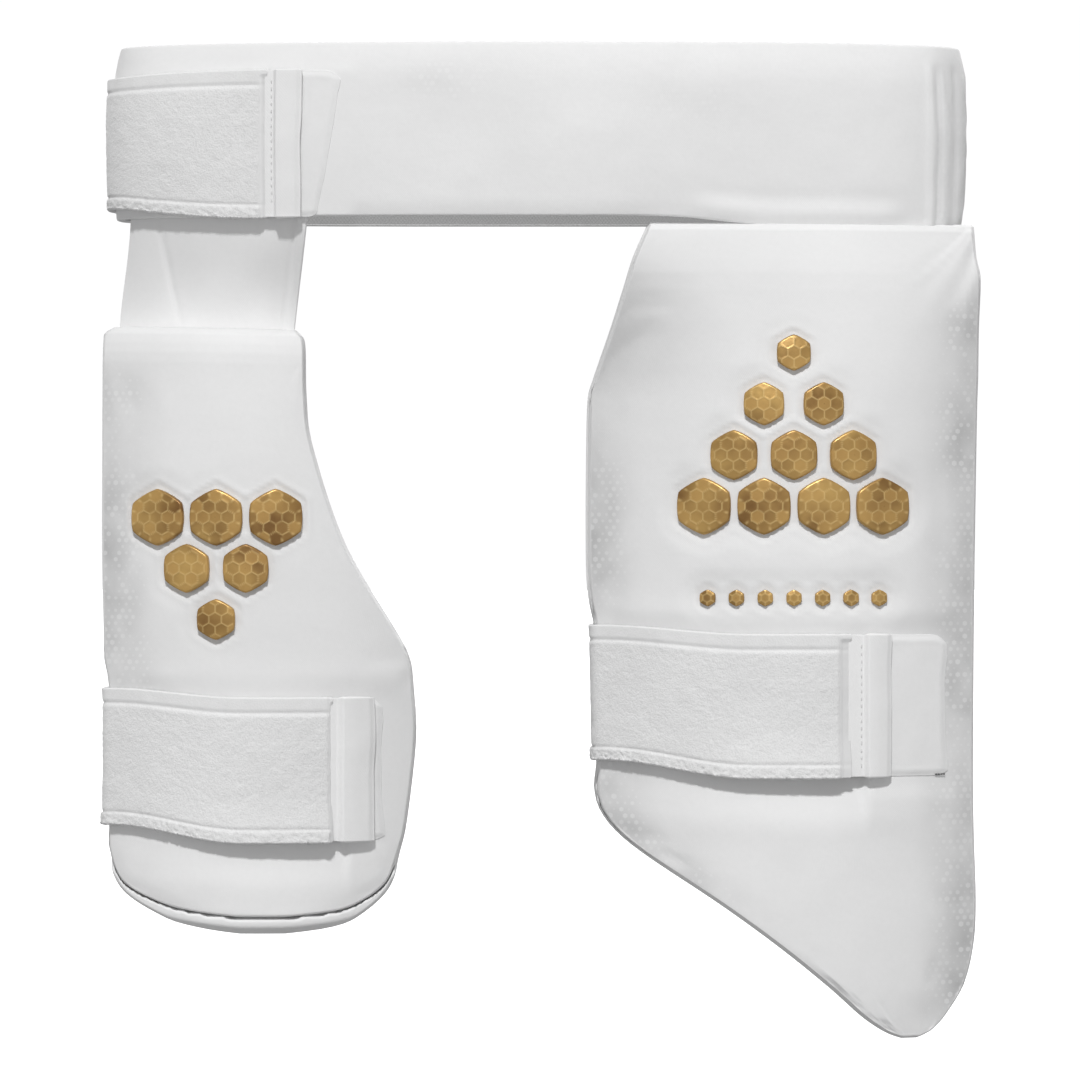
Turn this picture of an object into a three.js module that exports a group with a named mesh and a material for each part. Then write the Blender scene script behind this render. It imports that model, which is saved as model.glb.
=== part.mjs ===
// Cricket thigh guard: a waist belt that carries an outer thigh pad, and an inner thigh pad on a hanger
// panel. A terry strap round each thigh and one round the belt's left end close with hook tabs.
// Millimetres, +Z up, +X to the right as seen from the front, -Y to the front. The origin is the centre of
// the waist loop at half the belt's height.
import * as THREE from 'three';

const CLEARANCE = 0.35; // between pieces that lie on each other
const LOOP_CLEARANCE = 0.6; // between a thigh loop and the pad that it goes round

// Waist belt, a loop of doubled stretch fabric
const BELT_LENGTH = 397; // outside, end to end
const BELT_DEPTH = 130; // outside, front to back
const BELT_HEIGHT = 78;
const BELT_WALL = 2.6;
const BELT_FULLNESS = 2.5; // exponent of the loop's plan outline, where 2 is an ellipse
const BELT_BULGE = 1.4; // how far the middle of its height stands out
const HEM_DROP = 4.5; // how much lower its hem reaches over the outer pad
const CRUMPLE_HEIGHT = 1.6; // of the soft folds at its right end

// Hanger panel between the belt and the inner pad
const HANGER_WALL = 1.6;
const HANGER_DROP = 53; // from the belt's hem to the inner pad
const HANGER_TOP_WIDTH = 86;
const HANGER_BOTTOM_WIDTH = 81;
const HANGER_SHIFT = 5; // how far left of its upper end's middle its lower end's middle lies
const HANGER_INSET = 5.5; // of its left edge from the belt's left end
const HANGER_TUCK = 9; // how far it reaches up behind the belt and down behind the pad
const HANGER_CREASE = 1.5; // depth of the dent down its left part

// Outer pad
const OUTER_WIDTH = 180.5;
const OUTER_HEIGHT = 373;
const OUTER_THICKNESS = 21;
const OUTER_OVERHANG = 4.5; // of its right edge past the belt's end
const OUTER_BEVEL = 6; // width of the rounded edge at its sides
const OUTER_TOP_BEVEL = 20;
const OUTER_WRAP_DEPTH = 40; // how far its sides turn back round the thigh
const OUTER_INSET = 13; // of the middle of its back face from the belt's front
const OUTER_SETTLE = 80; // height over which it goes from the belt's curve to the thigh's
const SEAM_INSET = 7; // of its back face from the belt's front where it is sewn on

// Inner pad
const INNER_WIDTH = 144.5;
const INNER_HEIGHT = 269.5;
const INNER_THICKNESS = 17;
const INNER_OVERHANG = 3.8; // of its left edge past the belt's left end
const INNER_BEVEL = 6;
const INNER_TOP_BEVEL = 11;
const INNER_WRAP_DEPTH = 32;
const INNER_INSET = 21;
const INNER_SLANT = 3.6; // how much lower its upper edge is at the right
const INNER_LIP = 5.5; // how far its backing reaches below the cushion

// Both pads
const BACKING_WALL = 3.2;
const PAD_EDGE = 6.5; // thickness of a cushion at its edge
const PAD_BOW = 4; // how far the middle of a pad's height stands out

// Terry straps, hook tabs and loop patches
const STRAP_WALL = 2.6;
const TAB_WALL = 2.6;
const PATCH_WALL = 1.2;
const LOOP_FULLNESS = 2.4; // exponent of a thigh loop's plan outline
const STRAP_TUCK = 24; // length of strap sewn behind the backing
const STRAP_INSET = 8; // of the sewn side of a loop from the pad's right edge
const OUTER_LOOP_DEPTH = 96; // from the pad's edge to the back of the loop
const OUTER_STRAP_WIDTH = 64.5;
const OUTER_STRAP_DOWN = 188; // from the pad's upper edge
const OUTER_STRAP_END = 62; // from the pad's right edge to the seam of terry and tab
const OUTER_TAB_WIDTH = 16.6;
const OUTER_PATCH_WIDTH = 44;
const INNER_LOOP_DEPTH = 88;
const INNER_STRAP_WIDTH = 65.4;
const INNER_STRAP_DOWN = 169;
const INNER_STRAP_END = 38.5;
const INNER_TAB_WIDTH = 16.8;
const INNER_PATCH_WIDTH = 22;
const WAIST_STRAP_WIDTH = 67;
const WAIST_STRAP_DOWN = 12.2; // from the belt's upper edge
const WAIST_STRAP_END = 73.5; // from the belt's left end to the seam of terry and tab
const WAIST_STRAP_BACK_LENGTH = 90; // from the belt's left end to the sewn end of its back run
const WAIST_TAB_WIDTH = 14;
const WAIST_PATCH_WIDTH = 32;
const WAIST_PATCH_TAPER = 10; // how much narrower the waist patch is at the bottom

// Raised hexagons on the cushions
const TILE_ACROSS = 24; // across the flats of the largest
const TILE_GAP = 3;
const TILE_RELIEF = 2.4;
const OUTER_TILES_DOWN = 59; // from the pad's upper edge to the middle of the first row
const OUTER_TILES_SHIFT = 3; // to the right of the pad's middle
const INNER_TILES_DOWN = 86;
const INNER_TILES_SHIFT = -18;
const STUD_ACROSS = 7;
const STUD_PITCH = 13;
const STUD_COUNT = 7;
const STUD_RELIEF = 1.4;
const STUDS_ABOVE_STRAP = 17;

// Outlines, a row for each section of a pad. down is a share of the height, left and right are shares of
// the width.
const OUTER_OUTLINE = [
  { down: 0, left: -0.345, right: 0.481 },
  { down: 0.042, left: -0.384, right: 0.489 },
  { down: 0.06, left: -0.395, right: 0.5 },
  { down: 0.125, left: -0.437, right: 0.496 },
  { down: 0.189, left: -0.482, right: 0.495 },
  { down: 0.226, left: -0.497, right: 0.492 },
  { down: 0.41, left: -0.5, right: 0.485 },
  { down: 0.47, left: -0.491, right: 0.484 },
  { down: 0.5, left: -0.479, right: 0.483 },
  { down: 0.655, left: -0.473, right: 0.481 },
  { down: 0.688, left: -0.48, right: 0.481 },
  { down: 0.723, left: -0.464, right: 0.482 },
  { down: 0.763, left: -0.385, right: 0.484 },
  { down: 0.833, left: -0.165, right: 0.489 },
  { down: 0.886, left: -0.013, right: 0.484 },
  { down: 0.935, left: 0.112, right: 0.46 },
  { down: 0.972, left: 0.197, right: 0.413 },
  { down: 0.992, left: 0.257, right: 0.375 },
  { down: 1, left: 0.288, right: 0.348 },
];
const INNER_OUTLINE = [
  { down: 0, left: -0.465, right: 0.124 },
  { down: 0.008, left: -0.488, right: 0.138 },
  { down: 0.025, left: -0.498, right: 0.15 },
  { down: 0.116, left: -0.5, right: 0.154 },
  { down: 0.2, left: -0.5, right: 0.175 },
  { down: 0.367, left: -0.5, right: 0.279 },
  { down: 0.519, left: -0.495, right: 0.443 },
  { down: 0.561, left: -0.492, right: 0.481 },
  { down: 0.612, left: -0.476, right: 0.493 },
  { down: 0.7, left: -0.474, right: 0.5 },
  { down: 0.836, left: -0.476, right: 0.472 },
  { down: 0.889, left: -0.475, right: 0.449 },
  { down: 0.944, left: -0.428, right: 0.408 },
  { down: 0.979, left: -0.296, right: 0.317 },
  { down: 0.992, left: -0.182, right: 0.232 },
  { down: 1, left: -0.054, right: 0.089 },
];

// How thick a pad is near its upper edge, as a share of its full thickness. down is in top bevels.
const OUTER_TOP_PROFILE = [
  { down: 0, share: 0.1 },
  { down: 0.15, share: 0.25 },
  { down: 1, share: 0.62 },
  { down: 2.75, share: 0.88 },
  { down: 5, share: 1 },
];
const INNER_TOP_PROFILE = [
  { down: 0, share: 0.35 },
  { down: 0.23, share: 0.7 },
  { down: 1, share: 1 },
];

// How far a strap's edges lie above their places at the front, as shares of its width.
// along is a share of the way from the tab, along the front and round the left edge, to the sewn end.
const THIGH_STRAP_EDGES = [
  { along: 0, top: 0, bottom: 0 },
  { along: 0.2, top: 0, bottom: 0 },
  { along: 0.36, top: 0.06, bottom: 0.11 },
  { along: 1, top: 0.06, bottom: 0.11 },
];
const WAIST_STRAP_EDGES = [
  { along: 0, top: 0, bottom: 0 },
  { along: 0.4, top: -0.03, bottom: 0.09 },
  { along: 1, top: -0.03, bottom: 0.05 },
];

// Soft folds at the belt's right end. turn and spread are in quarter turns, height is a share of
// CRUMPLE_HEIGHT.
const CRUMPLES = [
  { turn: 0.66, spread: 0.05, height: 1 },
  { turn: 0.78, spread: 0.05, height: -0.8 },
  { turn: 0.9, spread: 0.06, height: 0.9 },
];

// Rows of raised hexagons from the top down, each with its size as a share of TILE_ACROSS
const OUTER_TILE_ROWS = [
  { count: 1, size: 0.64 },
  { count: 2, size: 0.76 },
  { count: 3, size: 0.88 },
  { count: 4, size: 1 },
];
const INNER_TILE_ROWS = [
  { count: 3, size: 1 },
  { count: 2, size: 0.86 },
  { count: 1, size: 0.72 },
];

const FABRIC = { color: 0xe4e4e6, roughness: 0.82, metalness: 0 };
const TERRY = { color: 0xdcdcde, roughness: 0.95, metalness: 0 };
const LINING = { color: 0xc4c6ca, roughness: 0.9, metalness: 0 };
const GOLD = { color: 0xa9772f, roughness: 0.38, metalness: 0.55 };

// Places that follow from the sizes
const BELT_HEM = -BELT_HEIGHT / 2;
const BELT_FRONT = -BELT_DEPTH / 2;
const BELT_END = BELT_LENGTH / 2;
const OUTER_TOP = BELT_HEM - HEM_DROP - CLEARANCE;
const OUTER_CENTRE = BELT_END + OUTER_OVERHANG - OUTER_WIDTH / 2;
const INNER_TOP = BELT_HEM - HANGER_DROP;
const INNER_CENTRE = -BELT_END - INNER_OVERHANG + INNER_WIDTH / 2;
const WAIST_STRAP_TOP = BELT_HEIGHT / 2 - WAIST_STRAP_DOWN;
const TILE_PITCH = TILE_ACROSS + TILE_GAP;

const QUARTER = Math.PI / 2;
const mix = THREE.MathUtils.lerp;
const clamp = THREE.MathUtils.clamp;
const ease = (value) => THREE.MathUtils.smoothstep(value, 0, 1);
const straight = (value) => value;
const signedPower = (value, power) => Math.sign(value) * Math.abs(value) ** power;
const crowded = (share) => (1 - Math.cos(Math.PI * share)) / 2; // places that crowd towards both ends

// The value of a table's column at a place, eased from row to row unless bend says otherwise
function readTable(rows, key, column, place, bend = ease) {
  const next = rows.findIndex((row) => row[key] >= place);
  if (next === 0) return rows[0][column];
  if (next < 0) return rows[rows.length - 1][column];
  const share = (place - rows[next - 1][key]) / (rows[next][key] - rows[next - 1][key]);
  return mix(rows[next - 1][column], rows[next][column], bend(share));
}

// A geometry with its faces turned out, from triangles that all face one way
function facingOut(points, faces) {
  let volume = 0;
  const normal = new THREE.Vector3();
  for (const [a, b, c] of faces) volume += points[a].dot(normal.crossVectors(points[b], points[c]));
  const turned = volume < 0 ? faces.map(([a, b, c]) => [a, c, b]) : faces;
  const geometry = new THREE.BufferGeometry().setFromPoints(points);
  geometry.setIndex(turned.flat());
  geometry.computeVertexNormals();
  return geometry;
}

// A closed skin between two sheets of points. pointAt(u, v, side) has side 1 on the outer sheet and 0 on
// the inner one. A round skin's last column is its first.
function skin(columns, rows, pointAt, round = false) {
  const points = [];
  const faces = [];
  const lines = round ? columns : columns + 1;
  for (const side of [0, 1]) {
    for (let i = 0; i < lines; i++) {
      for (let j = 0; j <= rows; j++) points.push(pointAt(i / columns, j / rows, side));
    }
  }
  const corner = (i, j, side) => (side * lines + (i % lines)) * (rows + 1) + j;
  const quad = (a, b, c, d) => faces.push([a, b, c], [a, c, d]);
  for (let i = 0; i < columns; i++) {
    for (let j = 0; j < rows; j++) {
      quad(corner(i, j, 1), corner(i, j + 1, 1), corner(i + 1, j + 1, 1), corner(i + 1, j, 1));
      quad(corner(i, j, 0), corner(i + 1, j, 0), corner(i + 1, j + 1, 0), corner(i, j + 1, 0));
    }
    quad(corner(i, 0, 1), corner(i + 1, 0, 1), corner(i + 1, 0, 0), corner(i, 0, 0));
    quad(corner(i, rows, 1), corner(i, rows, 0), corner(i + 1, rows, 0), corner(i + 1, rows, 1));
  }
  for (let j = 0; j < rows && !round; j++) {
    quad(corner(0, j, 1), corner(0, j, 0), corner(0, j + 1, 0), corner(0, j + 1, 1));
    quad(corner(columns, j, 1), corner(columns, j + 1, 1), corner(columns, j + 1, 0), corner(columns, j, 0));
  }
  return facingOut(points, faces);
}

function piece(name, geometry, finish) {
  const mesh = new THREE.Mesh(geometry, new THREE.MeshStandardMaterial(finish));
  mesh.name = name;
  return mesh;
}

// The belt's outer line in plan, lifted outwards. turn is in quarter turns: 0 at the front, 1 at the right
// end, 2 at the back and -1 at the left end.
function beltPlan(turn, lift) {
  const x = BELT_END * signedPower(Math.sin(turn * QUARTER), 2 / BELT_FULLNESS);
  const y = BELT_FRONT * signedPower(Math.cos(turn * QUARTER), 2 / BELT_FULLNESS);
  const normal = new THREE.Vector2(
    signedPower(x / BELT_END, BELT_FULLNESS - 1) / BELT_END,
    -signedPower(y / BELT_FRONT, BELT_FULLNESS - 1) / -BELT_FRONT,
  ).normalize();
  return new THREE.Vector2(x, y).addScaledVector(normal, lift);
}

function frontTurn(x) {
  return Math.asin(signedPower(clamp(x / BELT_END, -1, 1), BELT_FULLNESS / 2)) / QUARTER;
}

// y of the belt's outer face at the front, level beyond its last twentieth
function beltFrontY(x) {
  const share = Math.min(0.95, Math.abs(x / BELT_END));
  return BELT_FRONT * (1 - share ** BELT_FULLNESS) ** (1 / BELT_FULLNESS);
}

function beltPoint(turn, z, lift) {
  const level = clamp(z / BELT_HEM, -1, 1);
  const swell = 1 - level * level;
  let height = BELT_BULGE * (swell - 1);
  for (const fold of CRUMPLES) {
    height += CRUMPLE_HEIGHT * fold.height * swell * Math.exp(-(((turn - fold.turn) / fold.spread) ** 2));
  }
  const plan = beltPlan(turn, lift + height);
  return new THREE.Vector3(plan.x, plan.y, z);
}

function waistBelt() {
  return skin(60, 4, (u, v, side) => {
    const turn = 4 * u;
    const overPad = ease((turn - 0.12) / 0.2) * ease((1 - turn) / 0.1);
    const point = beltPoint(turn, mix(-BELT_HEM, BELT_HEM, v), (side - 1) * BELT_WALL);
    point.z -= overPad * HEM_DROP * v * v;
    return point;
  }, true);
}

function waistStrap() {
  const from = frontTurn(WAIST_STRAP_END - BELT_END);
  const to = -2 - frontTurn(WAIST_STRAP_BACK_LENGTH - BELT_END);
  return skin(24, 3, (u, v, side) => {
    const top = readTable(WAIST_STRAP_EDGES, 'along', 'top', u);
    const bottom = readTable(WAIST_STRAP_EDGES, 'along', 'bottom', u) - 1;
    const z = WAIST_STRAP_TOP + WAIST_STRAP_WIDTH * mix(top, bottom, v);
    return beltPoint(mix(from, to, u), z, CLEARANCE + side * STRAP_WALL);
  });
}

// A point on the belt right of the waist strap's seam
function besideWaistStrap(across, v, lift) {
  const x = WAIST_STRAP_END - BELT_END + STRAP_WALL / 2 + CLEARANCE + across;
  return beltPoint(frontTurn(x), WAIST_STRAP_TOP - WAIST_STRAP_WIDTH * v, lift);
}

function waistPatch() {
  return skin(6, 4, (u, v, side) => {
    const width = WAIST_PATCH_WIDTH - WAIST_PATCH_TAPER * v;
    return besideWaistStrap(width * u, v, CLEARANCE + side * PATCH_WALL);
  });
}

function waistTab() {
  return skin(4, 4, (u, v, side) => {
    const wall = TAB_WALL * mix(0.6, 1, Math.sin(Math.PI * u));
    return besideWaistStrap(WAIST_TAB_WIDTH * u, v, 2 * CLEARANCE + PATCH_WALL + side * wall);
  });
}

// A pad's outline and faces. section(v) gives its left and right x and its share of the way down, front,
// back and rear give y at a place: rear is the face of the backing that lies on the thigh.
function makePad(sizes, outline) {
  const { width, height, top, centre, slant } = sizes;
  const points = outline.map((row) => new THREE.Vector3(row.left, row.down, row.right));
  const curve = new THREE.CatmullRomCurve3(points, false, 'catmullrom', 0.5);
  const section = (v) => {
    const row = curve.getPoint(clamp(v, 0, 1));
    return { left: centre + width * row.x, right: centre + width * row.z, down: row.y };
  };
  const levelAt = (x, down) => top - height * down - slant * (1 - ease(down / 0.15)) * ((x - centre) / width);
  const rimSteps = 60;
  const rim = [];
  for (let i = -rimSteps; i <= rimSteps; i++) {
    const { left, right, down } = section(1 - Math.abs(i) / rimSteps);
    const x = i < 0 ? left : right;
    rim.push([x, levelAt(x, down)]);
  }
  const rimDistance = (x, z) => {
    let nearest = Infinity;
    for (let i = 1; i < rim.length; i++) {
      const [ax, az] = rim[i - 1];
      const [dx, dz] = [rim[i][0] - ax, rim[i][1] - az];
      const along = clamp(((x - ax) * dx + (z - az) * dz) / (dx * dx + dz * dz), 0, 1);
      nearest = Math.min(nearest, Math.hypot(x - ax - dx * along, z - az - dz * along));
    }
    return nearest;
  };
  const back = (x, z) => {
    const share = (x - centre) / (width / 2);
    const level = (2 * (top - z)) / height - 1;
    const thigh = BELT_FRONT + sizes.inset + sizes.wrap * share * share - PAD_BOW * (1 - level * level);
    if (!sizes.settle) return thigh;
    return mix(beltFrontY(x) + SEAM_INSET, thigh, ease((top - z) / sizes.settle));
  };
  const front = (x, z) => {
    const inward = Math.min(1, rimDistance(x, z) / sizes.bevel);
    const below = (levelAt(x, 0) - z) / sizes.topBevel;
    const side = Math.sqrt(1 - (1 - inward) ** 2);
    const top = readTable(sizes.topProfile, 'down', 'share', below, straight);
    return back(x, z) - PAD_EDGE - (sizes.thickness - PAD_EDGE) * side * top;
  };
  const rear = (x, z) => back(x, z) + CLEARANCE + BACKING_WALL;
  return { ...sizes, section, levelAt, front, back, rear };
}

const outerPad = makePad({
  width: OUTER_WIDTH,
  height: OUTER_HEIGHT,
  thickness: OUTER_THICKNESS,
  top: OUTER_TOP,
  centre: OUTER_CENTRE,
  bevel: OUTER_BEVEL,
  topBevel: OUTER_TOP_BEVEL,
  topProfile: OUTER_TOP_PROFILE,
  wrap: OUTER_WRAP_DEPTH,
  inset: OUTER_INSET,
  settle: OUTER_SETTLE,
  slant: 0,
  columns: 16,
  rows: 24,
}, OUTER_OUTLINE);

const innerPad = makePad({
  width: INNER_WIDTH,
  height: INNER_HEIGHT,
  thickness: INNER_THICKNESS,
  top: INNER_TOP,
  centre: INNER_CENTRE,
  bevel: INNER_BEVEL,
  topBevel: INNER_TOP_BEVEL,
  topProfile: INNER_TOP_PROFILE,
  wrap: INNER_WRAP_DEPTH,
  inset: INNER_INSET,
  settle: 0,
  slant: INNER_SLANT,
  columns: 14,
  rows: 22,
}, INNER_OUTLINE);

// A sheet over a pad's outline, between two faces that are functions of x and z. reach lengthens its lower
// end into a lip, which leans back.
function padSheet(pad, outside, inside, reach = 0) {
  return skin(pad.columns, pad.rows, (u, v, side) => {
    const { left, right, down } = pad.section(mix(v, crowded(v), 0.5));
    const x = mix(left, right, crowded(u));
    const level = pad.levelAt(x, down);
    const lip = reach * down ** 12;
    return new THREE.Vector3(x, (side ? outside : inside)(x, level) + lip / 5, level - lip);
  });
}

const cushion = (pad) => padSheet(pad, pad.front, pad.back);

function backing(pad, reach = 0) {
  const inside = (x, z) => pad.back(x, z) + CLEARANCE;
  return padSheet(pad, pad.rear, inside, reach);
}

// A point lifted off a face of a pad, square to the face's line in plan. outward is -1 at the front and 1
// at the rear.
function offFace(face, outward, x, z, lift) {
  const step = 0.5;
  const slope = (face(x + step, z) - face(x - step, z)) / (2 * step);
  const reach = (outward * lift) / Math.hypot(slope, 1);
  return new THREE.Vector3(x - slope * reach, face(x, z) + reach, z);
}

// A pad's left and right x at a height
function sectionAt(pad, z) {
  let low = 0;
  let high = 1;
  for (let i = 0; i < 30; i++) {
    const middle = (low + high) / 2;
    if (pad.top - pad.height * pad.section(middle).down > z) low = middle;
    else high = middle;
  }
  return pad.section(low);
}

// A thigh loop's line in plan at one height: across the front, round the left edge of the pad, round the
// thigh, and in behind the backing, where it is sewn on
function loopLine(pad, strap, z) {
  const { left, right } = sectionAt(pad, z);
  const sewn = right - STRAP_INSET;
  const line = [];
  const place = (x, y) => line.push(new THREE.Vector2(x, y));
  const frontSteps = 9;
  for (let i = 0; i < frontSteps; i++) {
    const x = mix(strap.end, left + pad.bevel, i / frontSteps);
    place(x, pad.front(x, z));
  }
  const rollSteps = 7;
  for (let i = 0; i <= rollSteps; i++) {
    const x = left + pad.bevel * (1 - Math.sin((i / rollSteps) * QUARTER));
    place(x, pad.front(x, z));
  }
  const archSteps = 16;
  for (let i = 0; i <= archSteps; i++) {
    const angle = Math.PI * (1 - i / archSteps);
    const across = (1 + signedPower(Math.cos(angle), 2 / LOOP_FULLNESS)) / 2;
    const start = mix(pad.rear(left, z), pad.rear(sewn, z) + STRAP_INSET, i / archSteps);
    place(mix(left, sewn, across), start + strap.depth * Math.sin(angle) ** (2 / LOOP_FULLNESS));
  }
  const tuckSteps = 4;
  for (let i = 1; i <= tuckSteps; i++) {
    const x = sewn - STRAP_TUCK * (i / tuckSteps);
    const point = offFace(pad.rear, 1, x, z, 2 * LOOP_CLEARANCE + STRAP_WALL);
    place(point.x, point.y);
  }
  return line;
}

// A point of a line moved outwards, to the left of the way that the line runs
function besideLine(line, index, lift) {
  const before = line[Math.max(0, index - 1)];
  const after = line[Math.min(line.length - 1, index + 1)];
  const way = after.clone().sub(before).normalize();
  return new THREE.Vector2(line[index].x + way.y * -lift, line[index].y + way.x * lift);
}

function thighStrap(pad, strap) {
  const columns = loopLine(pad, strap, strap.top).length - 1;
  return skin(columns, 5, (u, v, side) => {
    const rise = readTable(THIGH_STRAP_EDGES, 'along', 'top', u);
    const lift = readTable(THIGH_STRAP_EDGES, 'along', 'bottom', u);
    const z = strap.top + strap.width * mix(rise, lift - 1, v);
    const line = loopLine(pad, strap, z);
    const plan = besideLine(line, Math.round(u * columns), LOOP_CLEARANCE + side * STRAP_WALL);
    return new THREE.Vector3(plan.x, plan.y, z);
  });
}

// A flat piece on a pad's front right of its strap's seam
function besideStrap(pad, strap, columns, width, lift, wallAt) {
  const left = strap.end + STRAP_WALL / 2 + CLEARANCE;
  return skin(columns, 4, (u, v, side) => {
    const z = strap.top - strap.width * v;
    return offFace(pad.front, -1, left + width * u, z, lift + side * wallAt(u));
  });
}

const patch = (pad, strap) => besideStrap(pad, strap, 6, strap.patchWidth, CLEARANCE, () => PATCH_WALL);

function tab(pad, strap) {
  const crown = (u) => TAB_WALL * mix(0.6, 1, Math.sin(Math.PI * u));
  return besideStrap(pad, strap, 4, strap.tabWidth, 2 * CLEARANCE + PATCH_WALL, crown);
}

const outerStrap = {
  end: OUTER_CENTRE + OUTER_WIDTH / 2 - OUTER_STRAP_END,
  top: OUTER_TOP - OUTER_STRAP_DOWN,
  width: OUTER_STRAP_WIDTH,
  depth: OUTER_LOOP_DEPTH,
  tabWidth: OUTER_TAB_WIDTH,
  patchWidth: OUTER_PATCH_WIDTH,
};

const innerStrap = {
  end: INNER_CENTRE + INNER_WIDTH / 2 - INNER_STRAP_END,
  top: INNER_TOP - INNER_STRAP_DOWN,
  width: INNER_STRAP_WIDTH,
  depth: INNER_LOOP_DEPTH,
  tabWidth: INNER_TAB_WIDTH,
  patchWidth: INNER_PATCH_WIDTH,
};

function hangerPanel() {
  const upper = BELT_HEM + HANGER_TUCK;
  const lower = INNER_TOP - HANGER_TUCK;
  const behindBelt = BELT_WALL + BELT_BULGE + CLEARANCE;
  return skin(6, 10, (u, v, side) => {
    const z = mix(upper, lower, v);
    const middle = HANGER_INSET - BELT_END + HANGER_TOP_WIDTH / 2 - HANGER_SHIFT * v;
    const x = middle + (u - 0.5) * mix(HANGER_TOP_WIDTH, HANGER_BOTTOM_WIDTH, v);
    const wall = (1 - side) * HANGER_WALL;
    const atBelt = beltPlan(frontTurn(x), -behindBelt - wall);
    const atPad = offFace(innerPad.rear, 1, x, z, CLEARANCE + wall);
    const down = clamp((BELT_HEM - z) / HANGER_DROP, 0, 1);
    const crease = HANGER_CREASE * Math.exp(-(((u - 0.2 - 0.2 * v) / 0.12) ** 2)) * Math.sin(Math.PI * down);
    const plan = atBelt.lerp(new THREE.Vector2(atPad.x, atPad.y), ease(down));
    return new THREE.Vector3(plan.x, plan.y + crease, z);
  });
}

// A hexagon that stands on a pad's front with a corner up and a domed face
function hexagon(pad, x, z, across, relief, sides) {
  const levels = [
    { size: 1, lift: 0 },
    { size: 1, lift: 0.4 },
    { size: 0.8, lift: 0.85 },
  ];
  const at = (size, angle, lift) => {
    const radius = (size * across) / 2;
    const [dx, dz] = [radius * Math.sin(angle), radius * Math.cos(angle)];
    return offFace(pad.front, -1, x + dx, z + dz, CLEARANCE + relief * lift);
  };
  const points = [];
  for (const { size, lift } of levels) {
    for (let i = 0; i < sides; i++) {
      const corner = i % (sides / 6) ? 1 : 1 / Math.cos(Math.PI / 6);
      points.push(at(size * corner, (2 * Math.PI * i) / sides, lift));
    }
  }
  const under = points.push(at(0, 0, 0)) - 1;
  const crown = points.push(at(0, 0, 1)) - 1;
  const faces = [];
  const last = (levels.length - 1) * sides;
  for (let i = 0; i < sides; i++) {
    const next = (i + 1) % sides;
    for (let ring = 0; ring < last; ring += sides) {
      const above = ring + sides;
      faces.push([ring + i, ring + next, above + next], [ring + i, above + next, above + i]);
    }
    faces.push([under, next, i], [crown, last + i, last + next]);
  }
  return facingOut(points, faces);
}

function tiles(name, pad, rows, shift, down) {
  const made = [];
  rows.forEach(({ count, size }, row) => {
    for (let i = 0; i < count; i++) {
      const x = pad.centre + shift + TILE_PITCH * (i - (count - 1) / 2);
      const z = pad.top - down - TILE_PITCH * Math.cos(Math.PI / 6) * row;
      const shape = hexagon(pad, x, z, TILE_ACROSS * size, TILE_RELIEF, 12);
      made.push(piece(`${name}_${made.length + 1}`, shape, GOLD));
    }
  });
  return made;
}

function studs() {
  const made = [];
  for (let i = 0; i < STUD_COUNT; i++) {
    const x = OUTER_CENTRE + OUTER_TILES_SHIFT + STUD_PITCH * (i - (STUD_COUNT - 1) / 2);
    const shape = hexagon(outerPad, x, outerStrap.top + STUDS_ABOVE_STRAP, STUD_ACROSS, STUD_RELIEF, 6);
    made.push(piece(`outer_stud_${i + 1}`, shape, GOLD));
  }
  return made;
}

const guard = new THREE.Group();
guard.add(
  piece('waist_belt', waistBelt(), FABRIC),
  piece('waist_strap', waistStrap(), TERRY),
  piece('waist_patch', waistPatch(), FABRIC),
  piece('waist_tab', waistTab(), FABRIC),
  piece('hanger_panel', hangerPanel(), FABRIC),
  piece('outer_pad', cushion(outerPad), FABRIC),
  piece('outer_backing', backing(outerPad), LINING),
  piece('outer_strap', thighStrap(outerPad, outerStrap), TERRY),
  piece('outer_patch', patch(outerPad, outerStrap), FABRIC),
  piece('outer_tab', tab(outerPad, outerStrap), FABRIC),
  piece('inner_pad', cushion(innerPad), FABRIC),
  piece('inner_backing', backing(innerPad, INNER_LIP), LINING),
  piece('inner_strap', thighStrap(innerPad, innerStrap), TERRY),
  piece('inner_patch', patch(innerPad, innerStrap), FABRIC),
  piece('inner_tab', tab(innerPad, innerStrap), FABRIC),
  ...tiles('outer_tile', outerPad, OUTER_TILE_ROWS, OUTER_TILES_SHIFT, OUTER_TILES_DOWN),
  ...tiles('inner_tile', innerPad, INNER_TILE_ROWS, INNER_TILES_SHIFT, INNER_TILES_DOWN),
  ...studs(),
);

export default guard;
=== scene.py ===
import math

import bpy
import numpy as np
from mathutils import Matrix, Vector


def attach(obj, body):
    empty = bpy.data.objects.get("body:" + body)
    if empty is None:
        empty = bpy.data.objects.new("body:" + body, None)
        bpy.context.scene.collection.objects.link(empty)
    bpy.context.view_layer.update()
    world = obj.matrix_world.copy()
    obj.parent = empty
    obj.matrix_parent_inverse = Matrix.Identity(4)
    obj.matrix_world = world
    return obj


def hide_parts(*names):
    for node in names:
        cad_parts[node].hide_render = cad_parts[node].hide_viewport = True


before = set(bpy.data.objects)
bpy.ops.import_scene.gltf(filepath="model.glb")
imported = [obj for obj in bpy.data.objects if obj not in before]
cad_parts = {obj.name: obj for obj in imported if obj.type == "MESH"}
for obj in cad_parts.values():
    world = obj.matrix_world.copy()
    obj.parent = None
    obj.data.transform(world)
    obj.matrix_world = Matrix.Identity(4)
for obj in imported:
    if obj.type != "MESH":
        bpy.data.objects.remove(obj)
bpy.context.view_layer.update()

# Shapes are worked out in millimetres, in the model's own frame, and written to Blender in metres.
MM = 0.001

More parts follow.
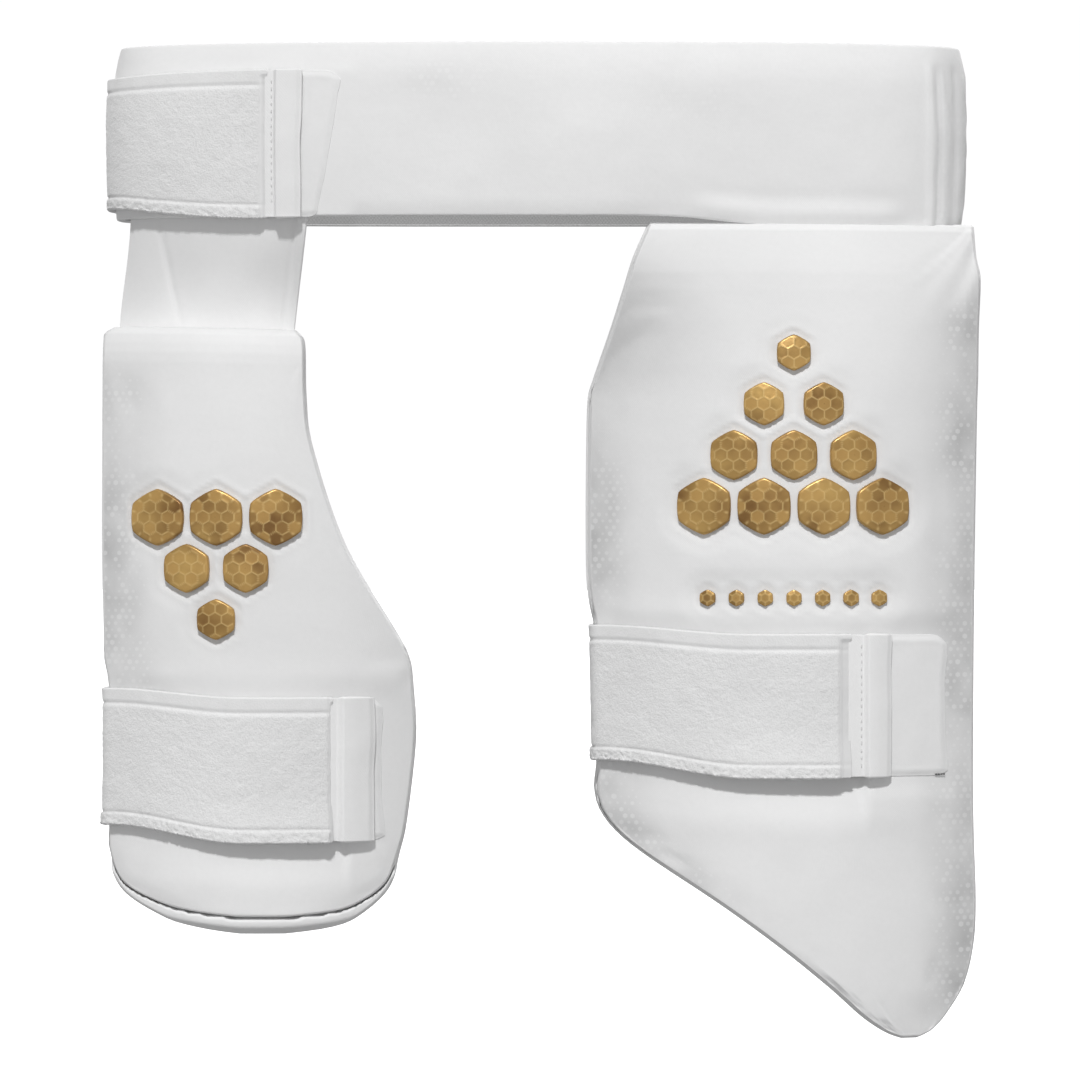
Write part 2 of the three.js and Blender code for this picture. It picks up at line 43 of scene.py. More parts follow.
# Sizes that the CAD model was made with
BELT_LENGTH, BELT_DEPTH, BELT_HEIGHT, BELT_WALL, BELT_FULLNESS, BELT_BULGE = 397, 130, 78, 2.6, 2.5, 1.4
HEM_DROP = 4.5
HANGER = dict(wall=1.6, drop=53, top=86, bottom=81, shift=5, inset=5.5, tuck=9, crease=1.5)
CLEARANCE, LOOP_CLEARANCE = 0.35, 0.6
BACKING_WALL, PAD_EDGE, PAD_BOW, SEAM_INSET = 3.2, 6.5, 4, 7
STRAP_WALL, PATCH_WALL = 2.6, 1.2
LOOP_FULLNESS, STRAP_TUCK, STRAP_INSET, ROLL = 2.4, 24, 8, 6
INNER_LIP = 5.5
BELT_HEM, BELT_FRONT, BELT_END = -BELT_HEIGHT / 2, -BELT_DEPTH / 2, BELT_LENGTH / 2
OUTER_TOP = BELT_HEM - HEM_DROP - CLEARANCE
INNER_TOP = BELT_HEM - HANGER["drop"]

OUTER_OUTLINE = [
    (0, -.345, .481), (.042, -.384, .489), (.06, -.395, .5), (.125, -.437, .496), (.189, -.482, .495),
    (.226, -.497, .492), (.41, -.5, .485), (.47, -.491, .484), (.5, -.479, .483), (.655, -.473, .481),
    (.688, -.48, .481), (.723, -.464, .482), (.763, -.385, .484), (.833, -.165, .489), (.886, -.013, .484),
    (.935, .112, .46), (.972, .197, .413), (.99, .25, .378), (.998, .285, .349), (1.001, .308, .329),
]
INNER_OUTLINE = [
    (0, -.465, .124), (.008, -.488, .138), (.025, -.498, .15), (.116, -.5, .154), (.2, -.5, .175),
    (.367, -.5, .279), (.519, -.495, .443), (.561, -.492, .481), (.612, -.476, .493), (.7, -.474, .5),
    (.836, -.476, .472), (.889, -.475, .449), (.944, -.428, .408), (.979, -.296, .317), (.992, -.182, .232),
    (1, -.054, .089),
]
# along, top, bottom: how far a strap's edges lie above their places at the front, as shares of its width
THIGH_STRAP_EDGES = [(0, 0, 0), (.1, 0, 0), (.245, .06, .12), (1, .06, .11)]
WAIST_STRAP_EDGES = [(0, 0, 0), (.4, -.03, .09), (1, -.03, .05)]
OUTER_TILE_ROWS = [(1, .64), (2, .76), (3, .88), (4, 1)]
INNER_TILE_ROWS = [(3, 1), (2, .86), (1, .72)]
TILE_ACROSS, TILE_PITCH, TILE_RELIEF = 24, 27, 2.4
STUD_ACROSS, STUD_PITCH, STUD_COUNT, STUD_RELIEF = 7, 13, 7, 1.4


# ---- numbers

def mix(a, b, share):
    return a + (b - a) * share


def ease(share):
    share = np.clip(share, 0, 1)
    return share * share * (3 - 2 * share)


def ridge(value, centre, width):
    """1 at the centre and falling off smoothly to both sides."""
    return np.exp(-(((value - centre) / width) ** 2))


def signed_power(value, power):
    return np.sign(value) * np.abs(value) ** power


def noise(x, y, size, seed):
    """Smooth bumps from -1 to 1 that are size across."""
    table = np.random.default_rng(seed).uniform(-1, 1, (128, 128))
    x, y = np.broadcast_arrays(np.asarray(x, float) / size, np.asarray(y, float) / size)
    column, row = np.floor(x).astype(int), np.floor(y).astype(int)
    across, down = ease(x - column), ease(y - row)

    def at(i, j):
        return table[i % 128, j % 128]

    upper = mix(at(column, row), at(column + 1, row), across)
    lower = mix(at(column, row + 1), at(column + 1, row + 1), across)
    return mix(upper, lower, down)


def read_table(rows, column, place):
    """A column of a table at places, eased from row to row as in the CAD source."""
    place = np.asarray(place, float)
    keys = np.array([row[0] for row in rows])
    values = np.array([row[column] for row in rows])
    after = np.clip(np.searchsorted(keys, place), 1, len(keys) - 1)
    share = (place - keys[after - 1]) / (keys[after] - keys[after - 1])
    return mix(values[after - 1], values[after], ease(share))


def smoothed(line, passes):
    """A line of points with its corners rounded off. Its ends stay."""
    for _ in range(passes):
        line[1:-1] = (line[:-2] + 2 * line[1:-1] + line[2:]) / 4
    return line


def places(length, step, rim=1.5):
    """Places from 0 to length about a step apart, closer together near both ends."""
    near = np.array([0, .12, .35, .65, 1]) * rim
    middle = np.linspace(rim, length - rim, max(2, round((length - 2 * rim) / step) + 1))
    return np.concatenate([near[:-1], middle, length - near[:-1][::-1]])


def honeycomb(x, y, across):
    """For a honeycomb of cells that are across wide: how far in each place lies, and its cell's centre."""
    step = np.array([across, across * math.sqrt(3)])
    spot = np.stack([x, y], -1)
    first = spot - np.round(spot / step) * step
    second = spot - step / 2
    second = second - np.round(second / step) * step
    nearer = (np.hypot(*np.moveaxis(first, -1, 0)) < np.hypot(*np.moveaxis(second, -1, 0)))[..., None]
    place = np.where(nearer, first, second)
    inside = across / 2 - np.maximum(np.abs(place[..., 0]), np.abs(place) @ (0.5, math.sqrt(3) / 2))
    return inside, spot - place


# ---- meshes

def make_object(name, points, faces, materials, face_material=None, **attributes):
    mesh = bpy.data.meshes.new(name)
    mesh.from_pydata((np.asarray(points) * MM).tolist(), [], [list(face) for face in faces])
    mesh.polygons.foreach_set("use_smooth", np.ones(len(mesh.polygons), bool))
    for key, values in attributes.items():
        values = np.asarray(values, np.float32)
        kind, field = ("FLOAT_VECTOR", "vector") if values.ndim == 2 else ("FLOAT", "value")
        mesh.attributes.new(key, kind, "POINT").data.foreach_set(field, values.ravel())
    for material in materials:
        mesh.materials.append(material)
    if face_material is not None:
        mesh.polygons.foreach_set("material_index", np.asarray(face_material, np.int32))
    mesh.update()
    made = bpy.data.objects.new(name, mesh)
    bpy.context.scene.collection.objects.link(made)
    return made


def finish_piece(made, slot, *nodes):
    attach(made, "root")
    if nodes:
        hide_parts(*nodes)
    return made


def outward_faces(points, faces):
    """Faces turned so that their normals point out of the closed shape."""
    a, b, c, d = (points[faces[:, k]] for k in range(4))
    volume = (a * np.cross(b, c)).sum() + (a * np.cross(c, d)).sum()
    return faces[:, ::-1] if volume < 0 else faces


class Skin:
    """A skin all round two sheets of points, with rounded edges. With closed set, the last column joins the
    first. origin is each point's place in the outer sheet. layer is 0 there, 1 on the inner sheet, and between
    them on the edges."""

    def __init__(self, outer, inner, wall=3, bulge=0.6, closed=False):
        lines, rows = outer.shape[:2]
        size = lines * rows
        index = np.arange(size).reshape(lines, rows)
        flat_outer, flat_inner = outer.reshape(-1, 3), inner.reshape(-1, 3)
        points, origins = [flat_outer, flat_inner], [index.ravel()] * 2
        layers = [np.zeros(size), np.ones(size)]
        around = np.vstack([index, index[:1]]) if closed else index
        a, b, c, d = around[:-1, :-1], around[:-1, 1:], around[1:, 1:], around[1:, :-1]
        faces = [np.stack([a, b, c, d], -1).reshape(-1, 4), np.stack([a, d, c, b], -1).reshape(-1, 4) + size]
        if closed:
            loops = [(index[:, 0], index[:, 1]), (index[::-1, -1], index[::-1, -2])]
        else:
            rim = np.concatenate([index[:-1, 0], index[-1, :-1], index[:0:-1, -1], index[0, :0:-1]])
            i, j = np.unravel_index(rim, (lines, rows))
            loops = [(rim, index[np.clip(i, 1, lines - 2), np.clip(j, 1, rows - 2)])]
        count = 2 * size
        for rim, beside in loops:
            middle, half = (flat_outer[rim] + flat_inner[rim]) / 2, (flat_outer[rim] - flat_inner[rim]) / 2
            out = np.cross(np.roll(middle, -1, 0) - np.roll(middle, 1, 0), half)
            out /= np.maximum(np.linalg.norm(out, axis=1), 1e-9)[:, None]
            if (out * (middle - (flat_outer[beside] + flat_inner[beside]) / 2)).sum() < 0:
                out = -out
            reach = np.linalg.norm(half, axis=1)[:, None] * bulge
            before = rim
            for k in range(1, wall + 2):
                if k <= wall:
                    angle = math.pi * k / (wall + 1)
                    points.append(middle + half * math.cos(angle) + out * reach * math.sin(angle))
                    origins.append(rim)
                    layers.append(np.full(len(rim), k / (wall + 1)))
                    after = np.arange(count, count + len(rim))
                    count += len(rim)
                else:
                    after = rim + size
                faces.append(np.stack([before, np.roll(before, -1), np.roll(after, -1), after], -1))
                before = after
        self.points, self.origin, self.layer = (np.concatenate(v) for v in (points, origins, layers))
        self.faces = outward_faces(self.points, np.concatenate(faces))
        self.shape = (lines, rows)

    def spread(self, values):
        """Values of the outer sheet's points, at every point."""
        return np.broadcast_to(values, self.shape).ravel()[self.origin]

    def cloth(self, along, down):
        """Each point's place on the fabric, in metres."""
        far, deep = self.spread(along[:, None]), self.spread(down[None, :])
        return np.stack([far, deep, self.layer], -1) * MM

    def inner_faces(self, least=0.99):
        """1 for the faces whose points all lie at least that far in, and 0 for the rest."""
        return (self.layer[self.faces].min(1) >= least).astype(int)


def joined(parts):
    """Several point and face sets as one."""
    points, faces, start = [], [], 0
    for more_points, more_faces in parts:
        points.append(more_points)
        faces.append(np.asarray(more_faces) + start)
        start += len(more_points)
    return np.concatenate(points), np.concatenate(faces)


def stitch(start, end, normal, radius=0.28, arch=0.35):
    """A short thread from start to end that rises out of the cloth and dives back in."""
    start, end, normal = (np.asarray(v, float) for v in (start, end, normal))
    way = (end - start) / max(np.linalg.norm(end - start), 1e-9)
    side = np.cross(way, normal)
    stations, sides = 6, 6
    t = np.linspace(0, 1, stations)
    centre = start + (end - start) * t[:, None] + normal * (arch * np.sin(np.pi * t) - 0.12)[:, None]
    thick = radius * np.sqrt(np.clip(1 - (2 * t - 1) ** 4, 0.05, 1))
    angle = np.arange(sides) / sides * 2 * np.pi
    ring = np.cos(angle)[:, None] * side + np.sin(angle)[:, None] * normal
    points = (centre[:, None] + thick[:, None, None] * ring[None]).reshape(-1, 3)
    i, j = np.meshgrid(np.arange(stations - 1), np.arange(sides), indexing="ij")
    after = (j + 1) % sides
    faces = np.stack([i * sides + j, i * sides + after, (i + 1) * sides + after, (i + 1) * sides + j], -1)
    caps = [[0, 5, 4, 3], [0, 3, 2, 1], [30, 31, 32, 33], [30, 33, 34, 35]]
    return points, np.concatenate([faces.reshape(-1, 4), caps])


# ---- materials

class Nodes:
    """Small helper that adds nodes to a material and links them."""

    def __init__(self, name):
        self.material = bpy.data.materials.new(name)
        self.material.use_nodes = True
        self.tree = self.material.node_tree
        self.shader = self.tree.nodes["Principled BSDF"]

    def feed(self, socket, value):
        if isinstance(value, bpy.types.NodeSocket):
            self.tree.links.new(value, socket)
        elif value is not None:
            socket.default_value = value

    def surface(self, **values):
        """Sets or links the shader's own sockets."""
        for key, value in values.items():
            self.feed(self.shader.inputs[key.replace("_", " ")], value)

    def node(self, kind, output=0, settings=(), **inputs):
        made = self.tree.nodes.new(kind)
        for key, value in dict(settings).items():
            setattr(made, key, value)
        for key, value in inputs.items():
            self.feed(made.inputs[key.replace("_", " ")], value)
        return made.outputs[output]

    def operation(self, kind, operation, *values, output=0):
        made = self.tree.nodes.new(kind)
        made.operation = operation
        for socket, value in zip(made.inputs, values):
            self.feed(socket, value)
        return made.outputs[output]

    def math(self, operation, *values):
        return self.operation("ShaderNodeMath", operation, *values)

    def times(self, a, b):
        return self.math("MULTIPLY", a, b)

    def vector(self, operation, *values, output=0):
        return self.operation("ShaderNodeVectorMath", operation, *values, output=output)

    def blend(self, factor, a, b):
        made = self.tree.nodes.new("ShaderNodeMix")
        made.data_type = "RGBA"
        for socket, value in zip((made.inputs[0], made.inputs[6], made.inputs[7]), (factor, a, b)):
            self.feed(socket, value)
        return made.outputs[2]

    def span(self, value, low, high, to_low=0.0, to_high=1.0):
        return self.node(
            "ShaderNodeMapRange", Value=value, From_Min=low, From_Max=high, To_Min=to_low, To_Max=to_high
        )

    def axes(self, vector):
        made = self.tree.nodes.new("ShaderNodeSeparateXYZ")
        self.feed(made.inputs[0], vector)
        return made.outputs

    def combined(self, x, y):
        return self.node("ShaderNodeCombineXYZ", X=x, Y=y)

    def noise(self, vector, scale, detail=2.0, roughness=0.5):
        return self.node("ShaderNodeTexNoise", Vector=vector, Scale=scale, Detail=detail, Roughness=roughness)

    def mottled(self, place, scale, detail, darker, lighter):
        """A shade that drifts between two greys in patches."""
        return self.blend(self.span(self.noise(place, scale, detail), 0.3, 0.7), grey(darker), grey(lighter))

    def bump(self, height, distance, strength=1.0, normal=None):
        return self.node("ShaderNodeBump", Height=height, Distance=distance, Strength=strength, Normal=normal)

    def object_place(self):
        return self.node("ShaderNodeTexCoord", output=3)

    def attribute(self, name, output=2):
        return self.node("ShaderNodeAttribute", output=output, settings={"attribute_name": name})

    def hexagons(self, place, pitch):
        """For a honeycomb with a corner up: the distance from each cell's centre, from 0 to 1 at its
        sides, and a number from 0 to 1 that belongs to the cell."""
        step, half = (1, math.sqrt(3), 1), (0.5, math.sqrt(3) / 2, 0)
        spot = self.vector("MULTIPLY", place, (1 / pitch, 1 / pitch, 0))

        def nearest(point):
            cell = self.vector("FLOOR", self.vector("ADD", self.vector("DIVIDE", point, step), (0.5, 0.5, 0)))
            return self.vector("SUBTRACT", point, self.vector("MULTIPLY", cell, step))

        first, second = nearest(spot), nearest(self.vector("SUBTRACT", spot, half))
        longer = self.math(
            "GREATER_THAN", self.vector("LENGTH", first, output=1), self.vector("LENGTH", second, output=1)
        )
        change = self.vector("MULTIPLY", self.vector("SUBTRACT", second, first), self.combined(longer, longer))
        chosen = self.vector("ADD", first, change)
        centre = self.vector("SUBTRACT", spot, chosen)
        own = self.node(
            "ShaderNodeTexWhiteNoise", settings={"noise_dimensions": "2D"},
            Vector=self.vector("ADD", centre, (0.01, 0.01, 0)),
        )
        x, y, _ = self.axes(self.vector("ABSOLUTE", chosen))
        slanted = self.math("ADD", self.math("MULTIPLY", x, 0.5), self.math("MULTIPLY", y, math.sqrt(3) / 2))
        return self.math("MULTIPLY", self.math("MAXIMUM", x, slanted), 2.0), own


WHITE = 0.77


def grey(value, tint=(1, 1, 1)):
    return tuple(value * t for t in tint) + (1,)


def weave(nodes, place, pitch, depth, normal=None):
    """Fine knit: crossed waves whose rows are a pitch apart."""
    axes = nodes.axes(place)
    turn = 2 * math.pi / pitch
    across = nodes.math("SINE", nodes.times(axes[0], turn))
    down = nodes.math("SINE", nodes.times(axes[1], turn * 0.8))
    return nodes.bump(nodes.times(across, down), depth, 1.0, normal)


def fabric(name, value, pitch=0.0009, depth=0.00001, sheen=0.25, roughness=0.72, dirt=0.05, printed=0.0):
    """Smooth knit fabric with faint unevenness, soil in patches and a little sheen. Where the attribute print
    is above 0, it has a halftone of hexagonal dots that are lighter than the shade round them."""
    nodes = Nodes(name)
    place, cloth = nodes.object_place(), nodes.attribute("cloth", output=1)
    fine = nodes.noise(place, 420.0, 2.0)
    colour = nodes.mottled(place, 9.0, 3.0, value * (1 - dirt), value * (1 + dirt * 0.4))
    if printed:
        x, _, z = nodes.axes(place)
        away, own = nodes.hexagons(nodes.combined(x, z), 0.0034)
        amount = nodes.attribute("print")
        uneven = nodes.times(amount, nodes.span(nodes.noise(place, 55.0, 2.0), 0.3, 0.7, 0.35, 1.0))
        colour = nodes.blend(nodes.times(uneven, printed), colour, grey(value * 0.62))
        size = nodes.times(nodes.span(own, 0, 1, 0.25, 1.0), nodes.span(amount, 0, 0.5, 0.0, 0.8))
        dot = nodes.times(nodes.span(nodes.math("SUBTRACT", size, away), 0.0, 0.2), 0.6)
        colour = nodes.blend(nodes.times(dot, nodes.span(own, 0.0, 1.0, 0.3, 1.0)), colour, grey(value))
    colour = nodes.blend(nodes.times(nodes.span(fine, 0.35, 0.75), 0.08), colour, grey(value * 0.8))
    soft = nodes.bump(nodes.noise(place, 160.0, 2.0), 0.0002, 0.5)
    nodes.surface(
        Base_Color=colour, Roughness=nodes.span(fine, 0.3, 0.7, roughness - 0.06, roughness + 0.08),
        Normal=weave(nodes, cloth, pitch, depth, soft),
        Sheen_Weight=sheen, Sheen_Roughness=0.5, Specular_IOR_Level=0.25,
    )
    return nodes.material


def terry_cloth(name, value):
    """Loop pile, very matt, with painted shade between the loops. Bare hems have the attribute pile at 0; in the
    bare gutter beside the tab it is below 0, and painted shade darkens it there.
    """
    nodes = Nodes(name)
    place = nodes.object_place()
    pile = nodes.attribute("pile")
    loops = nodes.noise(place, 1300.0, 2.0, 0.6)
    clumps = nodes.noise(place, 650.0, 2.0)
    base = nodes.mottled(place, 25.0, 2.0, value * 0.97, value * 1.02)
    # Painted shade in the bare gutter beside the tab, where pile is below 0.
    base = nodes.blend(nodes.span(pile, -1.0, 0.0, 0.3, 0.0), base, grey(value * 0.6))
    pile = nodes.math("MAXIMUM", pile, 0.0)
    # Painted shade between the loops, deeper where the pile is full.
    between = nodes.times(nodes.span(loops, 0.25, 0.6, 0.4, 0.0), pile)
    soft = nodes.bump(nodes.times(clumps, pile), 0.0003, 0.4)
    nodes.surface(
        Base_Color=nodes.blend(between, base, grey(value * 0.72)), Roughness=0.95,
        Normal=nodes.bump(nodes.times(loops, pile), 0.0004, 0.6, soft),
        Sheen_Weight=0.4, Sheen_Roughness=0.6, Specular_IOR_Level=0.1,
    )
    return nodes.material


def spacer_mesh(name, value):
    """Breathable spacer mesh: a honeycomb of small holes, painted dark as the shade inside them."""
    nodes = Nodes(name)
    place, cloth = nodes.object_place(), nodes.attribute("cloth", output=1)
    away, own = nodes.hexagons(cloth, 0.0032)
    bound = nodes.span(nodes.attribute("bound"), 0.4, 0.6)
    # Painted shade: each hole is darkened for the shadow inside it.
    hole = nodes.times(nodes.span(away, 0.42, 0.62, 1.0, 0.0), nodes.math("SUBTRACT", 1.0, bound))
    base = nodes.mottled(place, 14.0, 3.0, value * 0.93, value * 1.04)
    base = nodes.blend(nodes.times(own, 0.15), base, grey(value * 0.8))
    edging = nodes.mottled(place, 30.0, 2.0, WHITE * 0.97, WHITE * 1.03)
    base = nodes.blend(bound, base, edging)
    nodes.surface(
        Base_Color=nodes.blend(nodes.times(hole, 0.6), base, grey(value * 0.25)), Roughness=0.85,
        Normal=nodes.bump(hole, 0.0006, 0.8, nodes.bump(nodes.noise(place, 700.0), 0.0002, 0.5)),
        Sheen_Weight=0.3, Sheen_Roughness=0.5, Specular_IOR_Level=0.2,
    )
    return nodes.material


def gold_relief(name):
    """Moulded gold rubber: satin, with lighter lines of a honeycomb and cells of uneven shade."""
    nodes = Nodes(name)
    place = nodes.object_place()
    fine = nodes.noise(place, 500.0, 3.0)
    wide = nodes.noise(place, 38.0, 3.0)
    base = nodes.blend(nodes.span(wide, 0.32, 0.68), (0.20, 0.100, 0.026, 1), (0.56, 0.355, 0.115, 1))
    base = nodes.blend(nodes.times(nodes.attribute("cells"), 0.6), base, (0.56, 0.34, 0.11, 1))
    base = nodes.blend(nodes.times(nodes.attribute("lines"), 0.55), base, (0.80, 0.58, 0.25, 1))
    nodes.surface(
        Base_Color=base, Metallic=0.45, Roughness=nodes.span(fine, 0.3, 0.7, 0.3, 0.44),
        Normal=nodes.bump(fine, 0.00008, 0.5),
    )
    return nodes.material


def thread(name, value):
    """Sewing thread, with the faint waves of its twist."""
    nodes = Nodes(name)
    place = nodes.object_place()
    twist = nodes.node("ShaderNodeTexWave", Vector=place, Scale=900.0, Distortion=2.0)
    nodes.surface(
        Base_Color=nodes.blend(twist, grey(value * 0.8), grey(value * 1.05)), Roughness=0.6,
        Normal=nodes.bump(twist, 0.0001, 0.5),
    )
    return nodes.material


def ink(name, colour):
    """Print on fabric: the ink wears thin in small scattered spots."""
    nodes = Nodes(name)
    place, cloth = nodes.object_place(), nodes.attribute("cloth", output=1)
    worn = nodes.span(nodes.noise(place, 700.0, 3.0), 0.62, 0.78)
    nodes.surface(
        Base_Color=nodes.blend(nodes.times(worn, 0.2), colour, grey(0.5)), Roughness=0.55,
        Normal=weave(nodes, cloth, 0.0009, 0.00003),
    )
    return nodes.material


belt_fabric = fabric("belt_fabric", WHITE * 1.02, printed=0.2)
# The belt's inner face: partly a grey facing of its own, partly painted shade for the shadow inside the loop.
belt_inside_grey_and_painted_shade = fabric("belt_inside_grey_and_painted_shade", 0.34, pitch=0.0016, depth=0.00008, roughness=0.85)
pad_fabric = fabric("pad_fabric", WHITE, printed=1.0)
plain_fabric = fabric("plain_fabric", WHITE * 1.03)
tab_fabric = fabric("tab_fabric", WHITE * 1.02, pitch=0.0012, depth=0.00002, roughness=0.62)
loop_fabric = fabric("loop_fabric", WHITE * 1.02, pitch=0.0007, depth=0.00002, roughness=0.85, sheen=0.3)
terry = terry_cloth("terry", WHITE * 0.97)
lining = spacer_mesh("spacer_mesh", 0.5)
gold = gold_relief("gold_relief")
sewing_thread = thread("sewing_thread", 0.7)
dark_thread = thread("dark_thread", 0.12)
black_ink = ink("black_ink", (0.018, 0.017, 0.017, 1))
gold_ink = ink("gold_ink", (0.42, 0.27, 0.09, 1))


# ---- waist belt

def belt_plan(turn, lift):
    """The belt's outer line in plan, moved outwards. turn: 0 front, 1 right end, 2 back, -1 left end."""
    angle = turn * math.pi / 2
    x = BELT_END * signed_power(np.sin(angle), 2 / BELT_FULLNESS)
    y = BELT_FRONT * signed_power(np.cos(angle), 2 / BELT_FULLNESS)
    nx = signed_power(x / BELT_END, BELT_FULLNESS - 1) / BELT_END
    ny = -signed_power(y / BELT_FRONT, BELT_FULLNESS - 1) / -BELT_FRONT
    size = np.hypot(nx, ny)
    return x + nx / size * lift, y + ny / size * lift


def front_turn(x):
    """The turn along the belt's front at which its line has the given x."""
    share = np.clip(np.asarray(x, float) / BELT_END, -1, 1)
    return np.arcsin(signed_power(share, BELT_FULLNESS / 2)) / (math.pi / 2)


def belt_front_y(x):
    """y of the belt's front, levelling off softly towards its end."""
    share = np.abs(x / BELT_END)
    share = share / (1 + (share / 0.97) ** 12) ** (1 / 12)
    return BELT_FRONT * (1 - share ** BELT_FULLNESS) ** (1 / BELT_FULLNESS)


def even_turns(first, last, step):
    """Turns along the belt's line that are about a step apart, and their distance along it."""
    turns = np.linspace(first, last, 6000)
    x, y = belt_plan(turns, 0)
    along = np.concatenate([[0], np.cumsum(np.hypot(np.diff(x), np.diff(y)))])
    wanted = np.linspace(0, along[-1], round(along[-1] / step) + 1)
    return np.interp(wanted, along, turns), wanted


def belt_face(turn, z, lift):
    """A point on the belt's smooth outer face, lifted outwards."""
    level = np.clip(z / BELT_HEM, -1, 1)
    x, y = belt_plan(turn, lift - BELT_BULGE * level * level)
    return np.stack(np.broadcast_arrays(x, y, z), -1)


def belt_detail(turn, along, z):
    """How far the belt's outer face stands out of its smooth shape: rolled edges, the soft hem over the outer
    pad, and the gathers where it turns at its right end."""
    down = -BELT_HEM - z
    x = belt_plan(turn, 0)[0]
    roll = -2.2 * np.clip((18 - down) / 18, 0, 1) ** 2 - 0.9 * np.clip((down - 70) / 8, 0, 1) ** 2
    over_pad = ease((x - 62) / 25) * ease((172 - x) / 14) * (np.abs(turn) < 1)
    roll = roll + over_pad * (1.3 * ridge(down, 74.5, 4.2) - 0.3 * ridge(down, 67, 3))
    at_end = ease((turn - 0.66) / 0.05) * ease((1.14 - turn) / 0.1) * ease((down - 5) / 8)
    gathers = 0.5 * noise(along, z / 7, 3.4, 6) + 0.3 * noise(along, z / 5, 1.9, 7)
    gathers = gathers + 0.9 * ridge(turn, 0.69, 0.02) - 1.0 * ridge(turn, 0.735, 0.016)
    gathers = gathers - 0.7 * ridge(turn, 0.83, 0.03)
    crease = 0.4 * noise(along, down * 1.6, 34, 3) + 0.14 * noise(along, down, 12, 4)
    crease = (crease + 0.04 * noise(along, down, 4, 5)) * ease((2 - np.abs(turn)) / 0.1)
    under_strap = ease((-84 - x) / 6) * (z < -BELT_HEM - 8)
    return (roll + gathers * at_end + crease) * (1 - under_strap * ease((down - 8) / 6))


def make_belt():
    turns, along = even_turns(-2, 2, 2.0)
    turns, along = turns[:-1], along[:-1]
    down = places(BELT_HEIGHT, 1.8)
    turn, far, deep = turns[:, None], along[:, None], down[None, :]
    over_pad = ease((turn - 0.12) / 0.2) * ease((1 - turn) / 0.1)
    z = -BELT_HEM - deep
    detail = belt_detail(turn, far, z)
    outer = belt_face(turn, z, detail)
    inner = belt_face(turn, z, -BELT_WALL + 0.8 * np.minimum(detail, 0.3))
    for face in (outer, inner):
        face[..., 2] -= over_pad * HEM_DROP * (deep / BELT_HEIGHT) ** 2
    x = outer[..., 0]
    shown = np.maximum(
        ridge(x, -42, 20) * ridge(outer[..., 2], 22, 10), ridge(x, 69, 26) * ridge(outer[..., 2], 12, 9)
    ) + 0.7 * ease((x - 181) / 3)
    skin = Skin(outer, inner, wall=3, bulge=0.8, closed=True)
    # The inner faces get the dark grey material, which carries painted shade for the inside of the loop.
    made = make_object(
        "belt_cover", skin.points, skin.faces, [belt_fabric, belt_inside_grey_and_painted_shade], skin.inner_faces(),
        cloth=skin.cloth(np.minimum(along, along[-1] - along), down),
        print=skin.spread(shown * (np.abs(turn) < 1.2)),
    )
    return finish_piece(made, "belt_fabric", "waist_belt")


# ---- pads

def catmull_rom(rows, place):
    """The curve through a table's rows that the CAD source uses. place runs from 0 to 1."""
    rows = np.asarray(rows, float)
    last = len(rows) - 1
    position = np.clip(place, 0, 1) * last
    before = np.minimum(np.floor(position).astype(int), last - 1)
    t = (position - before)[..., None]
    padded = np.vstack([2 * rows[0] - rows[1], rows, 2 * rows[-1] - rows[-2]])
    p0, p1, p2, p3 = (padded[before + k] for k in range(4))
    t0, t1 = 0.5 * (p2 - p0), 0.5 * (p3 - p1)
    return p1 + t0 * t + (-3 * p1 + 3 * p2 - 2 * t0 - t1) * t ** 2 + (2 * p1 - 2 * p2 + t0 + t1) * t ** 3


